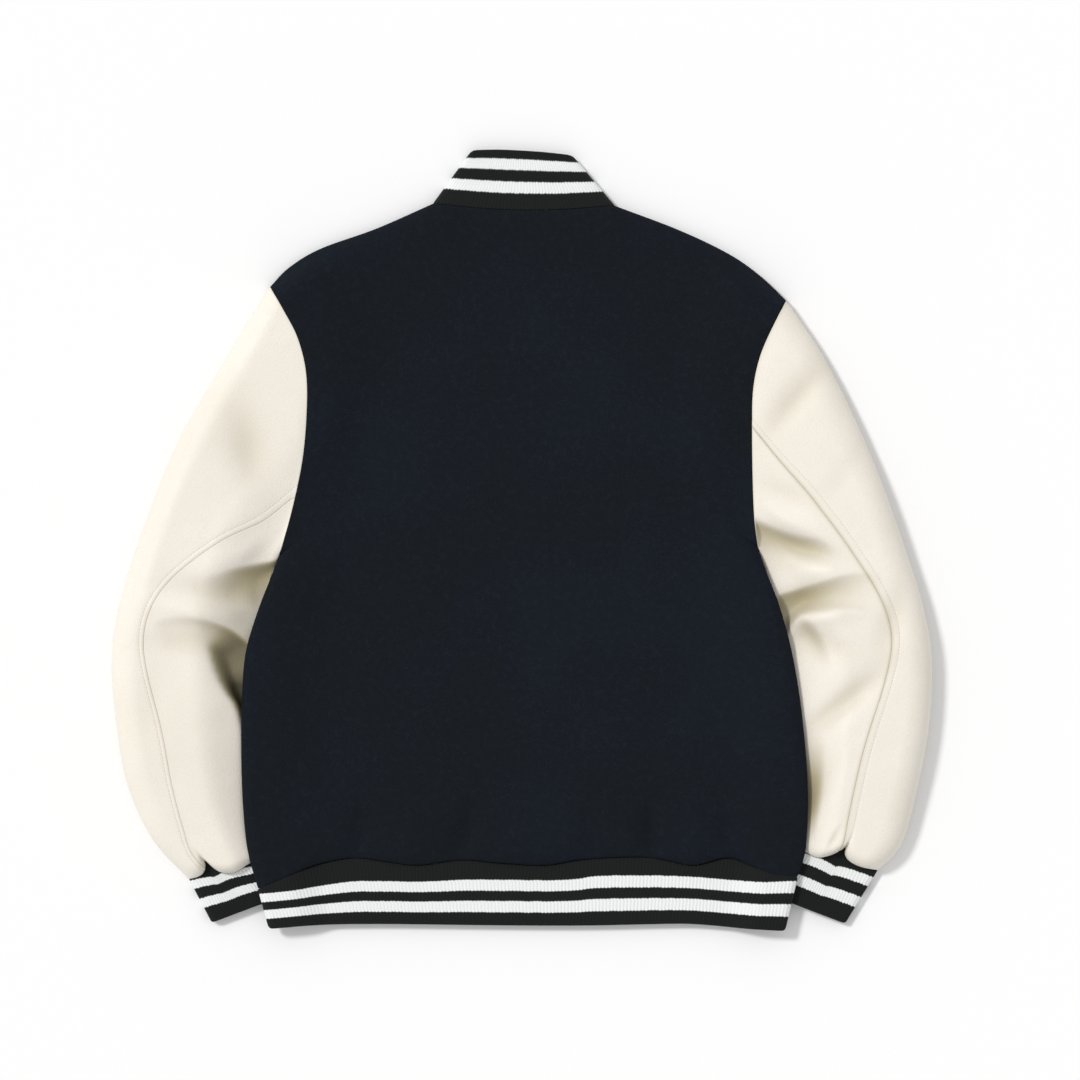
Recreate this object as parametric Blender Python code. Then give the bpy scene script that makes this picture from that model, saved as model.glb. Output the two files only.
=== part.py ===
"""Varsity jacket laid flat on its front, its back uppermost and the sleeves tucked beside the body.

Blender 4.5 script. Metres, +Z up: the jacket lies in the XY plane, its collar towards +Y, and the wearer's
left side is at -X. Its origin is the middle of its outline, on the surface that it lies on.

The garment is two sheets of cloth that meet in folds round the outline: an upper sheet (back, upper halves
of the sleeves) and a lower sheet that rests on the surface (fronts, lower halves of the sleeves). Each
panel is a wall whose outer face is worked out here and whose inner face lies a cloth's thickness inside.
The tables are in millimetres.
"""

import math
from types import SimpleNamespace

import bpy
import numpy as np

MM = 0.001

# Cloth
WOOL = 2.2
LEATHER = 1.5
RIB_KNIT = 2.6  # two layers of rib, folded at the free edge
SEAM = 0.15  # each panel stops this short of the seam's line
SHARP_DEGREES = 50.0  # edges that turn more than this aren't shaded smooth

# Rib knit
RIB_PITCH = 3.5
RIB_RELIEF = 0.7
RIB_START = 8.5  # the ribs stand clear of a fold by this much
BAND_ROWS = (0.0, 0.07, 0.93, 1.0)
FOLD_STEPS = np.array([0.0, 0.7, 2.1, 6.7])  # distances from a fold at which a band has columns
RIB_FADE = np.array([0.4, 1.0, 1.0, 0.4])  # relief of the ribs on the rows of a band
INSIDE_EVERY = 8  # columns of ribs to a column of the plain inner face

# Heights above the surface
BODY_TOP = 18.0
BODY_CROWN = 2.0
NECK_TOP = 16.0
COLLAR_EDGE_TOP = 11.5
COLLAR_FOLD = 7.0
SHOULDER_FOLD = 8.0
HEM_TOP = 12.5
HEM_END_TOP = 22.5
HEM_END_LIFT = 12.4
CUFF_TOP = 11.0
CUFF_FOLD = 5.5

# How far from an edge the cloth turns over
SIDE_TURN = 14.0
SHOULDER_TURN = 24.0
LOWER_TURN = 15.0
ARMHOLE_TURN = 60.0
HEM_TURN = 16.0
CUFF_TURN = 15.0
BAND_TURN = 8.0
SLEEVE_TURN = 26.0
TUCKED_TURN = 9.0
ARMPIT_TURN = 26.0
LIFTED = 27.0  # the body lies level on the sleeve this far in from its side,
LIFT_RUN = 38.0  # and the lower sheet comes down to the surface over this much more,
BACK_LIFT_RUN = 68.0  # as the upper one comes down to its own height over this
UNDER_TURN = 0.6  # a sleeve's lower sheet turns over in this share of the upper one's distance

# Front opening and its snaps
CENTRE_X = 3.0
OVERLAP = 14.0  # each front passes the centre by this much
PLACKET_RISE = 1.5  # the left front lies on its snap caps
LAP_GAP = 0.6
LAPPED = PLACKET_RISE + WOOL + LAP_GAP  # and the right front on the left one
LEFT_RAMP = 8.0
RIGHT_RAMP = 24.0
LAP_MARGIN = 16.0
NECK_BASE_Y = 238.0
SNAPS = 6
SNAP_R = 7.5
SNAP_CAP = 1.2
SNAP_SIDES = 20
SNAP_CLEAR = 16.0  # the left front is down on the surface at the hem, and on the caps from this far above
SNAP_FIRST_Y = -282.0
SNAP_LAST_Y = 215.0

# Rows and columns of each panel
SHOULDER_COLUMNS = 12
NECK_COLUMNS = 10
SLEEVE_RINGS = 22
NECKLINE_ROWS = 5
SIDE_ZONE = 0.27  # share of the back's width that the shoulder's columns take
SIDE_CROWDING = 1.6  # of the columns towards the side, as a power,
SHOULDER_CROWDING = 1.5  # of their ends towards the shoulder's tip,
RING_CROWDING = (1.7, 1.3)  # and of a sleeve's columns towards its folds, at the armhole and at the cuff
SIDE_ROWS = np.array([0, 3, 9, 18, 32, 60, 95, 135, 175, 212, 245, 272, 293, 309, 321, 330.0])
FRONT_COLUMNS = np.array([0, 12, 20, 31, 52, 92, 140, 184, 216, 238, 250, 257, 260.0])
BAND_COLUMNS = 8  # of a band's lower layer, past those near its end fold


def table(columns, *rows):
    """Rows of numbers under named columns, as arrays."""
    return SimpleNamespace(**{name: np.array(values, float) for name, values in zip(columns.split(), zip(*rows))})


# The body's outline, down each side from the armpit to the hem, round each armhole from the shoulder's tip
# to the armpit, and along each shoulder from its tip to the neck.
SIDE_LEFT = table(
    "x y",
    (-233.3, -15.4),
    (-242.0, -38.0),
    (-254.5, -71.0),
    (-265.5, -110.0),
    (-269.0, -160.0),
    (-269.3, -216.0),
    (-267.3, -262.0),
    (-263.0, -300.0),
    (-253.4, -335.0),
)
SIDE_RIGHT = table(
    "x y",
    (226.6, -6.7),
    (235.2, -32.0),
    (246.7, -62.0),
    (258.7, -106.0),
    (267.8, -160.0),
    (273.6, -221.0),
    (274.4, -264.0),
    (271.8, -300.0),
    (264.6, -323.5),
)
ARMHOLE_LEFT = table(
    "x y",
    (-242.5, 243.2),
    (-227.0, 218.0),
    (-214.5, 193.0),
    (-206.8, 161.0),
    (-206.2, 122.0),
    (-210.2, 77.0),
    (-219.8, 32.0),
    (-233.3, -15.4),
)
ARMHOLE_RIGHT = table(
    "x y",
    (254.4, 229.9),
    (240.0, 204.0),
    (228.0, 176.0),
    (221.6, 146.0),
    (220.4, 110.0),
    (221.0, 62.0),
    (222.8, 23.0),
    (226.6, -6.7),
)
SHOULDER_LEFT = table(
    "x y",
    (-242.5, 243.2),
    (-224.0, 262.0),
    (-194.0, 280.0),
    (-140.0, 299.5),
    (-85.4, 323.5),
)
SHOULDER_RIGHT = table(
    "x y",
    (254.4, 229.9),
    (229.0, 254.0),
    (199.0, 275.0),
    (151.0, 298.0),
    (88.8, 321.6),
)
NECK_BACK = table("x y", (-85.4, 323.5), (-40.0, 318.8), (3.0, 317.0), (46.0, 318.0), (88.8, 321.6))
NECK_FRONT = table("out up", (-14.0, 0.0), (28.0, 4.0), (60.0, 22.0), (80.0, 50.0))  # as far as the neck point

# The back's lower edge, where the wool blouses over the hem in shallow scallops, and the hem's free edge.
HEM_SEAM_BACK = table(
    "x y",
    (-253.4, -335.0),
    (-224.0, -322.5),
    (-192.0, -311.0),
    (-160.0, -306.0),
    (-131.0, -309.5),
    (-100.0, -313.0),
    (-58.0, -308.0),
    (-21.0, -311.0),
    (22.0, -313.0),
    (59.0, -307.5),
    (113.0, -305.0),
    (140.0, -308.5),
    (165.0, -313.0),
    (197.0, -306.0),
    (217.0, -312.0),
    (241.0, -320.5),
    (264.6, -323.5),
)
HEM_SEAM_FRONT = table(
    "x y",
    (-253.4, -335.0),
    (-215.0, -317.0),
    (-140.0, -312.0),
    (140.0, -312.0),
    (225.0, -317.0),
    (264.6, -323.5),
)
HEM_FRONT_EDGE_Y = -369.5
HEM_SLANT_RUN = 60.0  # the front's hem edge runs level beyond this far from the side
COLLAR_SLANT = 0.62  # the collar's free edge leaves its fold on the front at a slant
COLLAR_GAP = 1.0  # between the collar's ends and the centre line
HEM_EDGE = table(
    "x y",
    (-242.9, -373.4),
    (-227.0, -372.0),
    (-199.0, -370.0),
    (-136.0, -369.1),
    (-20.0, -370.4),
    (60.0, -370.6),
    (120.0, -369.4),
    (161.0, -369.0),
    (211.0, -372.9),
    (252.5, -375.4),
)
COLLAR_EDGE = table("x y", (-48.0, 374.9), (-21.0, 375.4), (17.0, 373.4), (48.0, 370.1))
COLLAR_FRONT = table("out up", (1.0, 43.0), (22.0, 63.0), (38.0, 98.0))  # as far as the collar's fold

# The body's side from the hem up to the armpit: the fold's height, the upper and lower sheets' heights just
# inside it, where the body lies on the tucked edge of the sleeve, and how far in the upper sheet turns over.
SIDE_SECTIONS = table(
    "share fold top lift turn",
    (0.00, 17.4, 22.5, 12.4, 14.0),
    (0.12, 18.5, 25.5, 14.0, 14.0),
    (0.45, 21.0, 27.5, 15.5, 14.0),
    (0.80, 21.0, 27.0, 15.5, 14.0),
    (0.93, 18.0, 25.0, 12.0, 18.0),
    (1.00, 12.0, 22.0, 0.0, 34.0),
)

# The sleeves' outer edges, from the shoulder's tip to the cuff.
SLEEVE_LEFT = table(
    "x y",
    (-242.5, 243.2),
    (-271.1, 197.0),
    (-301.4, 146.0),
    (-328.0, 99.5),
    (-350.8, 46.0),
    (-375.2, -22.0),
    (-389.5, -74.0),
    (-393.9, -115.0),
    (-391.8, -158.0),
    (-380.5, -230.0),
    (-356.0, -286.0),
    (-320.6, -326.4),
)
SLEEVE_RIGHT = table(
    "x y",
    (254.4, 229.9),
    (288.0, 179.0),
    (317.0, 122.5),
    (346.2, 54.0),
    (371.0, -17.0),
    (386.0, -66.0),
    (393.9, -116.0),
    (391.0, -180.0),
    (378.0, -247.0),
    (364.5, -293.0),
    (342.4, -317.8),
)
# The sleeve's sections, by share of its outer edge: share of the tucked edge, which they fan out from at the
# armpit, height of the upper sheet at its crown, how far across the crown ends, height where the body lies
# on it, and heights of the outer and the tucked fold.
SLEEVE_SECTIONS = table(
    "share inner crown crown_end tucked outer_fold inner_fold",
    (0.00, 0.00, 27.0, 0.45, 22.0, 8.0, 12.0),
    (0.12, 0.02, 31.0, 0.42, 19.0, 10.0, 10.5),
    (0.28, 0.06, 35.0, 0.40, 15.5, 12.0, 8.0),
    (0.42, 0.20, 37.0, 0.40, 13.5, 13.0, 6.5),
    (0.60, 0.45, 38.0, 0.42, 13.5, 13.0, 6.5),
    (0.80, 0.74, 36.0, 0.45, 13.0, 12.0, 6.5),
    (0.93, 0.92, 31.0, 0.48, 11.5, 10.0, 6.0),
    (1.00, 1.00, 26.0, 0.50, 11.0, 5.5, 5.5),
)
FALL_END = 0.93  # the upper sheet has come down to the tucked height this far across
FOLDS_OUT = (0.72, 0.88)  # and its folds have run out between these

# Shares of a sleeve's length over which its form changes.
ARMHOLE_RUN = 0.40  # from the armhole's curve to a straight ring
FOLDS_IN = 0.15  # from the armhole to the folds' full height
TURN_RUN = (0.2, 0.3)  # from the shoulder's and armpit's turns to the sleeve's own
END_RUN = 0.1  # from a straight ring to the sleeve end's bulges

# How far the tucked edge lies inside the body's side, by the distance below the armpit.
TUCK = table("down tuck", (0.0, 0.0), (25.0, 0.5), (60.0, 9.0), (100.0, 15.0), (200.0, 17.0), (330.0, 19.0))

# The elbow seam, from the armhole to the cuff.
ELBOW_LEFT = table(
    "x y",
    (-219.8, 40.3),
    (-250.6, 16.3),
    (-286.0, 0.0),
    (-327.0, -28.8),
    (-350.4, -55.0),
    (-362.0, -88.0),
    (-359.6, -122.0),
    (-345.0, -180.5),
    (-334.0, -239.0),
    (-320.6, -288.0),
    (-312.0, -312.0),
)
ELBOW_RIGHT = table(
    "x y",
    (220.8, 108.5),
    (246.2, 77.0),
    (275.4, 43.0),
    (315.0, -10.0),
    (344.6, -57.5),
    (354.8, -96.0),
    (346.6, -139.0),
    (331.0, -188.0),
    (321.0, -227.0),
    (312.0, -271.0),
    (306.0, -301.0),
)
RING_STEPS = 200  # in which a ring is searched for the seam
FOREARM_SEAM = 0.40  # how far across the lower sheet its other seam lies
CUFF_REACH = 24.0  # the tucked edge leaves the body's side this far above the cuff's seam
TUCKED_EVERY = 16  # points of the body's side to one that the tucked edge is drawn through

# Where the leather ends over the cuff: it bulges past the line from fold to fold, and is notched at the seam.
SLEEVE_END_LEFT = table(
    "across past",
    (0.00, 0.0),
    (0.13, -1.0),
    (0.27, -9.5),
    (0.40, 3.5),
    (0.54, 6.0),
    (0.76, 1.5),
    (1.00, 0.0),
)
SLEEVE_END_RIGHT = table(
    "across past",
    (0.00, 0.0),
    (0.20, 1.5),
    (0.36, -2.0),
    (0.47, -7.5),
    (0.60, 0.5),
    (0.73, 5.0),
    (1.00, 0.0),
)
CUFF_LEFT = SimpleNamespace(inner_seam=(-243.8, -304.3), outer_edge=(-298.6, -368.2), inner_edge=(-229.0, -342.0))
CUFF_RIGHT = SimpleNamespace(inner_seam=(262.1, -293.8), outer_edge=(311.0, -369.0), inner_edge=(240.0, -342.0))

# A snap's cap, from the surface up: shares of its height, and how far each ring lies inside its rim.
SNAP_RINGS = table("up inset", (0.0, 0.7), (0.3, 0.0), (0.65, 0.0), (1.0, 0.5))

# Folds of the upper sheet: centre, direction of the crest from +X, half length, half width, height.
SLEEVE_FOLDS = table(
    "x y angle length width height",
    (-258.0, 88.0, 110.0, 50.0, 24.0, -3.0),
    (-262.0, -12.0, 20.0, 40.0, 11.0, 3.0),
    (-282.0, -52.0, -8.0, 44.0, 12.0, -7.0),
    (-300.0, -74.0, -8.0, 44.0, 10.0, 4.0),
    (-318.0, -98.0, 0.0, 36.0, 11.0, -4.5),
    (-282.0, -124.0, -52.0, 34.0, 11.0, -9.0),
    (-296.0, -136.0, -62.0, 42.0, 10.0, 4.5),
    (262.0, 140.0, 50.0, 44.0, 14.0, -3.0),
    (254.0, 16.0, -28.0, 34.0, 10.0, 4.0),
    (268.0, -6.0, -22.0, 34.0, 10.0, -6.5),
    (276.0, -30.0, -6.0, 30.0, 9.0, 3.5),
    (276.0, -54.0, 12.0, 38.0, 11.0, -6.0),
    (280.0, -76.0, 10.0, 32.0, 9.0, 6.0),
    (292.0, -98.0, -32.0, 28.0, 12.0, -4.0),
    (308.0, -155.0, 42.0, 44.0, 13.0, -3.5),
    (282.0, -240.0, 72.0, 34.0, 11.0, -5.0),
)
HEM_GATHERS = table(
    "x y angle length width height",
    (-155.0, -284.0, 84.0, 34.0, 13.0, -4.0),
    (-54.0, -280.0, 72.0, 34.0, 12.0, -5.0),
    (-104.0, -290.0, 90.0, 26.0, 22.0, 3.5),
    (10.0, -290.0, 90.0, 24.0, 34.0, 3.0),
    (68.0, -286.0, 96.0, 26.0, 14.0, -3.0),
    (124.0, -282.0, 86.0, 32.0, 12.0, -5.0),
    (164.0, -290.0, 90.0, 24.0, 20.0, 3.5),
    (200.0, -284.0, 98.0, 32.0, 12.0, -4.0),
)

# ---------------------------------------------------------------- curves and patches


def smooth_curve(points, per_span=14):
    """Close points on a smooth curve through the given ones."""
    p = np.asarray(points, float)
    p = np.vstack([2 * p[0] - p[1], p, 2 * p[-1] - p[-2]])
    t = (np.arange(per_span) / per_span)[:, None]
    spans = [
        0.5 * (2 * b + (c - a) * t + (2 * a - 5 * b + 4 * c - d) * t**2 + (3 * b - a - 3 * c + d) * t**3)
        for a, b, c, d in zip(p, p[1:], p[2:], p[3:])
    ]
    return np.vstack([*spans, p[-2:-1]])


def outline(rows):
    """The smooth curve through a table of plan points."""
    return smooth_curve(np.stack([rows.x, rows.y], 1))


def lengths(line):
    """Distance along a line at each of its points."""
    return np.concatenate([[0], np.cumsum(np.linalg.norm(np.diff(line, axis=0), axis=1))])


def at_shares(line, shares):
    """Points at these shares of a line's length."""
    run = lengths(line)
    return np.stack([np.interp(np.asarray(shares) * run[-1], run, line[:, k]) for k in range(2)], -1)


def column(rows, name, share):
    """A smoothly varying value of a table of sections."""
    curve = smooth_curve(np.stack([getattr(rows, rows_key(rows)), getattr(rows, name)], 1))
    return np.interp(share, curve[:, 0], curve[:, 1])


def rows_key(rows):
    """The name of a table's first column."""
    return next(iter(vars(rows)))


def turned(distance, radius):
    """0 at a fold to 1 a radius inside it, as a quarter circle rises."""
    x = np.clip(distance / radius, 0, 1)
    return np.sqrt(1 - (1 - x) ** 2)


def eased(x):
    """0 to 1, level at both ends."""
    x = np.clip(x, 0, 1)
    return x * x * (3 - 2 * x)


def mix(a, b, share):
    """From a at no share to b at all of it."""
    return a + (b - a) * share


def shares(steps):
    """0 to 1 in even steps."""
    return np.linspace(0, 1, steps + 1)


def fold_height(x, y, folds):
    """Height that a table of folds adds at a point."""
    total = np.zeros_like(x)
    for cx, cy, angle, length, width, height in zip(*vars(folds).values()):
        c, s = math.cos(math.radians(angle)), math.sin(math.radians(angle))
        along, across = (x - cx) * c + (y - cy) * s, (y - cy) * c - (x - cx) * s
        total = total + height * np.exp(-((along / length) ** 2) - (across / width) ** 2)
    return total


def filled_patch(first, last, start, end, across, up):
    """Points between four edges: first and last run across, start and end run up (a Coons patch)."""
    a, u = across[:, None, None], up[None, :, None]
    ruled_up = (1 - u) * first[:, None] + u * last[:, None]
    ruled_across = (1 - a) * start[None] + a * end[None]
    corners = (1 - a) * (1 - u) * first[0] + a * (1 - u) * first[-1] + (1 - a) * u * last[0] + a * u * last[-1]
    return ruled_up + ruled_across - corners


def from_edge(patch, axis, reverse=False):
    """Distance of each point of a patch from one of its edges, along its own lines."""
    p = np.moveaxis(patch, axis, 0)
    p = p[::-1] if reverse else p
    run = np.concatenate([np.zeros((1, p.shape[1])), np.cumsum(np.linalg.norm(np.diff(p, axis=0), axis=2), axis=0)])
    run = run[::-1] if reverse else run
    return np.moveaxis(run, 0, axis)


# ---------------------------------------------------------------- solids


def unit(v):
    """Vectors of length 1."""
    return v / np.maximum(np.linalg.norm(v, axis=-1, keepdims=True), 1e-9)


class Face:
    """A panel's outer face: a grid of points, the way out of the cloth at each, and its seams.

    side is 1 where the first axis crossed with the second one points out of the cloth, and else -1.
    """

    def __init__(self, grid, side, closed=False):
        self.grid, self.side, self.closed = grid, side, closed
        du = np.roll(grid, -1, 0) - np.roll(grid, 1, 0) if closed else np.gradient(grid, axis=0)
        self.out = unit(np.cross(du, np.gradient(grid, axis=1))) * side
        self.shift = np.zeros_like(grid)

    def level(self, where, beside):
        """Along a fold, the cloth's thickness lies level, square to the fold."""
        line = self.grid[where]
        t = unit(np.gradient(line[:, :2], axis=0))
        flat = np.column_stack([t[:, 1], -t[:, 0], np.zeros(len(t))])
        inward = self.grid[beside] - line
        self.out[where] = flat * -np.sign(np.sum(flat * inward, axis=1, keepdims=True))

    def upright(self, where, lower=False, folds=(True, True), mitre=True):
        """Where two panels meet end to end, the cloth's thickness lies in the upright surface between them.

        folds says which ends of the edge lie in a fold, where a mitre leans the cloth's thickness halfway to
        that of the fold's own edge.
        """
        line = self.grid[where]
        run = lengths(line[:, :2])
        t = unit(np.gradient(line[:, :2], run, axis=0))
        slope = np.gradient(line[:, 2], run)[:, None]
        out = unit(np.hstack([-t * slope, np.ones_like(slope)])) * (-1 if lower else 1)
        for at, fold, way in ((0, folds[0], -1), (-1, folds[1], 1)):
            if fold:
                own = unit(self.out[where][at, :2]) if mitre else 0.0
                out[at] = (*unit(t[at] * way + own), 0.0)
        self.out[where] = out

    def seam(self, where, beside):
        """Moves an edge off the seam's line, square to the surface that its cloth's thickness lies in."""
        line = self.grid[where]
        across = unit(np.cross(unit(np.gradient(line, axis=0)), self.out[where]))
        inward = self.grid[beside] - line
        self.shift[where] += SEAM * across * np.sign(np.sum(across * inward, axis=1, keepdims=True))

    def part(self, columns):
        """The face's strip of these columns."""
        strip = Face(self.grid[columns], self.side)
        strip.out = self.out[columns]
        return strip


def new_object(name, vertices, faces, material):
    """A named object of these faces, its vertices in millimetres."""
    mesh = bpy.data.meshes.new(name)
    mesh.from_pydata([tuple(v) for v in np.asarray(vertices) * MM], [], faces)
    mesh.materials.append(material)
    mesh.shade_smooth()
    mesh.set_sharp_from_angle(angle=math.radians(SHARP_DEGREES))
    obj = bpy.data.objects.new(name, mesh)
    bpy.context.scene.collection.objects.link(obj)
    return obj


def zipped(a, b, place_a, place_b, flip):
    """Triangles between two rows of vertices, each with its places along the row."""
    faces, i, j = [], 0, 0
    while i < len(a) - 1 or j < len(b) - 1:
        step_a = j == len(b) - 1 or (
            i < len(a) - 1 and place_a[i] + place_a[i + 1] <= place_b[j] + place_b[j + 1]
        )
        face = (a[i], a[i + 1], b[j]) if step_a else (a[i], b[j + 1], b[j])
        i, j = (i + 1, j) if step_a else (i, j + 1)
        faces.append(tuple(int(v) for v in (face[::-1] if flip else face)))
    return faces


def grid_faces(ids, points, closed, flip):
    """Triangles of a grid of vertex numbers, each cell split along the shorter diagonal between its points."""
    n, m = ids.shape
    faces = []
    for i in range(n if closed else n - 1):
        e = (i + 1) % n
        for j in range(m - 1):
            a, b, c, d = ids[i, j], ids[e, j], ids[e, j + 1], ids[i, j + 1]
            rise, fall = points[i, j] - points[e, j + 1], points[e, j] - points[i, j + 1]
            rising = np.linalg.norm(rise) <= np.linalg.norm(fall)
            for face in ((a, b, c), (a, c, d)) if rising else ((a, b, d), (b, c, d)):
                faces.append(tuple(int(v) for v in (face[::-1] if flip else face)))
    return faces


def wall(name, face, thickness, material, inside=None, relief=None):
    """A wall of cloth from its outer face to a plain one a thickness inside it.

    inside picks the columns that the inner face has, and relief raises the outer face's points.
    """
    outer = face.grid + face.shift
    inner = outer - thickness * face.out
    if relief is not None:
        outer = outer + relief[..., None] * face.out
    n, m = outer.shape[:2]
    keep = list(range(n)) if inside is None else list(inside)
    k = len(keep)
    outer_id = np.arange(n * m).reshape(n, m)
    inner_id = n * m + np.arange(k * m).reshape(k, m)
    turned_over = face.side < 0
    faces = grid_faces(outer_id, outer, face.closed, turned_over)
    faces += grid_faces(inner_id, outer if k == n else inner[keep], face.closed, not turned_over)
    for j, flip in ((0, turned_over), (m - 1, not turned_over)):
        row, inner_row, place, inner_place = list(outer_id[:, j]), list(inner_id[:, j]), list(range(n)), keep
        if face.closed:
            row, inner_row, place, inner_place = row + row[:1], inner_row + inner_row[:1], place + [n], keep + [n]
        faces += zipped(inner_row, row, inner_place, place, flip)
    if not face.closed:
        for i, i_in, flip in ((0, 0, turned_over), (n - 1, k - 1, not turned_over)):
            faces += zipped(outer_id[i], inner_id[i_in], range(m), range(m), flip)
    vertices = np.vstack([outer.reshape(-1, 3), inner[keep].reshape(-1, 3)])
    return new_object(name, vertices, faces, material)


# ---------------------------------------------------------------- sleeves


class Sleeve:
    """One sleeve's form: rings from the armhole to the cuff, each with an upper and a lower sheet."""

    def __init__(self, side, outer, armhole, body_side, elbow, end, cuff):
        self.side = side  # -1 at the wearer's left, +1 at the right
        self.armhole = outline(armhole)
        self.outer = outline(outer)
        self.elbow = outline(elbow)
        self.end = end
        self.cuff = cuff
        self.arm_length = lengths(self.armhole)[-1]
        self.inner = self.tucked_edge(outline(body_side))

    def tucked_edge(self, body_side):
        """The sleeve's inner edge, from the armpit down inside the body's side to the cuff."""
        run = lengths(body_side)
        along = np.gradient(body_side, axis=0)
        along /= np.linalg.norm(along, axis=1, keepdims=True)
        inward = np.stack([-along[:, 1], along[:, 0]], 1) * (1 if self.side < 0 else -1)
        edge = body_side + inward * np.interp(run, TUCK.down, TUCK.tuck)[:, None]
        stop = np.array(self.cuff.inner_seam)
        keep = edge[:, 1] > stop[1] + CUFF_REACH
        return smooth_curve(np.vstack([edge[keep][::TUCKED_EVERY], stop]))

    def across(self, lower, counts, share):
        """Shares across a ring from the outer fold to the tucked one, with a point on the seam."""
        seam = FOREARM_SEAM if lower else self.elbow_across(share)
        crowding = mix(*RING_CROWDING, share)
        first = seam * shares(counts[0]) ** crowding
        second = seam + (1 - seam) * (1 - (1 - shares(counts[1])[1:]) ** crowding)
        return np.concatenate([first, second])

    def elbow_across(self, share):
        """How far across a ring the elbow seam crosses it."""
        across = shares(RING_STEPS)
        apart = self.plan(share, across)[:, None] - self.elbow[None]
        return across[np.argmin(np.min(np.linalg.norm(apart, axis=2), axis=1))]

    def plan(self, share, across):
        """Plan points of a ring."""
        outer = at_shares(self.outer, [share])[0]
        inner = at_shares(self.inner, [column(SLEEVE_SECTIONS, "inner", share)])[0]
        line = mix(outer, inner, np.asarray(across)[:, None])
        arm = at_shares(self.armhole, across)
        straight = mix(self.armhole[0], self.armhole[-1], np.asarray(across)[:, None])
        line = line + (arm - straight) * (1 - eased(share / ARMHOLE_RUN))
        past = column(self.end, "past", across)
        direction = np.array(self.cuff.outer_edge) - self.outer[-1]
        direction = direction / np.linalg.norm(direction)
        return line + past[:, None] * direction * eased((share - 1) / END_RUN + 1)

    def heights(self, share, across, xy, lower):
        """Heights of a ring's outer face."""
        width = max(float(lengths(xy)[-1]) / max(float(np.ptp(across)), 1e-6), 1.0)
        fold_out = column(SLEEVE_SECTIONS, "outer_fold", share)
        fold_in = column(SLEEVE_SECTIONS, "inner_fold", share)
        turn_out = mix(SHOULDER_TURN, SLEEVE_TURN, eased(share / TURN_RUN[0]))
        turn_in = mix(ARMPIT_TURN, TUCKED_TURN, eased(share / TURN_RUN[1]))
        if lower:
            z = np.zeros(len(across))
        else:
            crown = column(SLEEVE_SECTIONS, "crown", share)
            crown_end = column(SLEEVE_SECTIONS, "crown_end", share)
            tucked = column(SLEEVE_SECTIONS, "tucked", share)
            fall = eased((across - crown_end) / (FALL_END - crown_end))
            z = mix(crown, tucked, fall)
            folds = fold_height(xy[:, 0], xy[:, 1], SLEEVE_FOLDS)
            runs_out = eased((across - FOLDS_OUT[0]) / (FOLDS_OUT[1] - FOLDS_OUT[0]))
            z = z + folds * eased(share / FOLDS_IN) * (1 - runs_out)
        z = mix(fold_out, z, turned(across * width, turn_out * (UNDER_TURN if lower else 1)))
        z = mix(fold_in, z, turned((1 - across) * width, turn_in))
        if not lower:
            to_cuff = (1 - share) * float(lengths(self.outer)[-1])
            end = mix(CUFF_FOLD, CUFF_TOP, turned(np.minimum(across, 1 - across) * width, BAND_TURN))
            z = mix(end, z, turned(np.full(len(across), to_cuff), CUFF_TURN))
        return z


def sleeve_shares():
    """Where the rings lie: close together where the leather turns over the cuff."""
    return np.concatenate([np.linspace(0, 0.93, SLEEVE_RINGS - 4), [0.955, 0.975, 0.99, 0.9975, 1.0]])


LEFT = Sleeve(-1, SLEEVE_LEFT, ARMHOLE_LEFT, SIDE_LEFT, ELBOW_LEFT, SLEEVE_END_LEFT, CUFF_LEFT)
RIGHT = Sleeve(1, SLEEVE_RIGHT, ARMHOLE_RIGHT, SIDE_RIGHT, ELBOW_RIGHT, SLEEVE_END_RIGHT, CUFF_RIGHT)
UPPER_COUNTS = {-1: (7, 3), 1: (5, 5)}
LOWER_COUNTS = (4, 6)


def sleeve_face(sleeve):
    """The sleeve's whole outer face, a closed tube: its upper sheet, then its lower one back."""
    rings = []
    for share in sleeve_shares():
        sheets = []
        for lower, counts in ((False, UPPER_COUNTS[sleeve.side]), (True, LOWER_COUNTS)):
            across = sleeve.across(lower, counts, share)
            xy = sleeve.plan(share, across)
            sheets.append(np.column_stack([xy, sleeve.heights(share, across, xy, lower)]))
        rings.append(np.vstack([sheets[0], sheets[1][-2:0:-1]]))
    face = Face(np.stack(rings, 1), sleeve.side, closed=True)
    top = sum(UPPER_COUNTS[sleeve.side]) + 1
    face.level(np.s_[0], np.s_[1])
    face.level(np.s_[top - 1], np.s_[top - 2])
    for ring in (0, -1):
        face.upright(np.s_[:top, ring])
        below = np.r_[top - 1 : len(face.grid), 0]
        folds = face.out[[0, top - 1], ring].copy()
        face.upright((below, ring), lower=True)
        face.out[[0, top - 1], ring] = folds
    return face


def sleeve_panels(sleeve, name, material):
    """The upper sleeve, round the outer fold, and the under sleeve, round the tucked one."""
    whole = sleeve_face(sleeve)
    around, elbow = len(whole.grid), UPPER_COUNTS[sleeve.side][0]
    forearm = around - LOWER_COUNTS[0]
    strips = {"upper": np.r_[forearm:around, 0 : elbow + 1], "under": np.r_[elbow : forearm + 1]}
    for part, columns in strips.items():
        panel = whole.part(columns)
        for where, beside in ((np.s_[0], np.s_[1]), (np.s_[-1], np.s_[-2])):
            panel.seam(where, beside)
            panel.seam((slice(None), where), (slice(None), beside))
        wall(f"{name}_{part}", panel, LEATHER, material)


# ---------------------------------------------------------------- body


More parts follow.
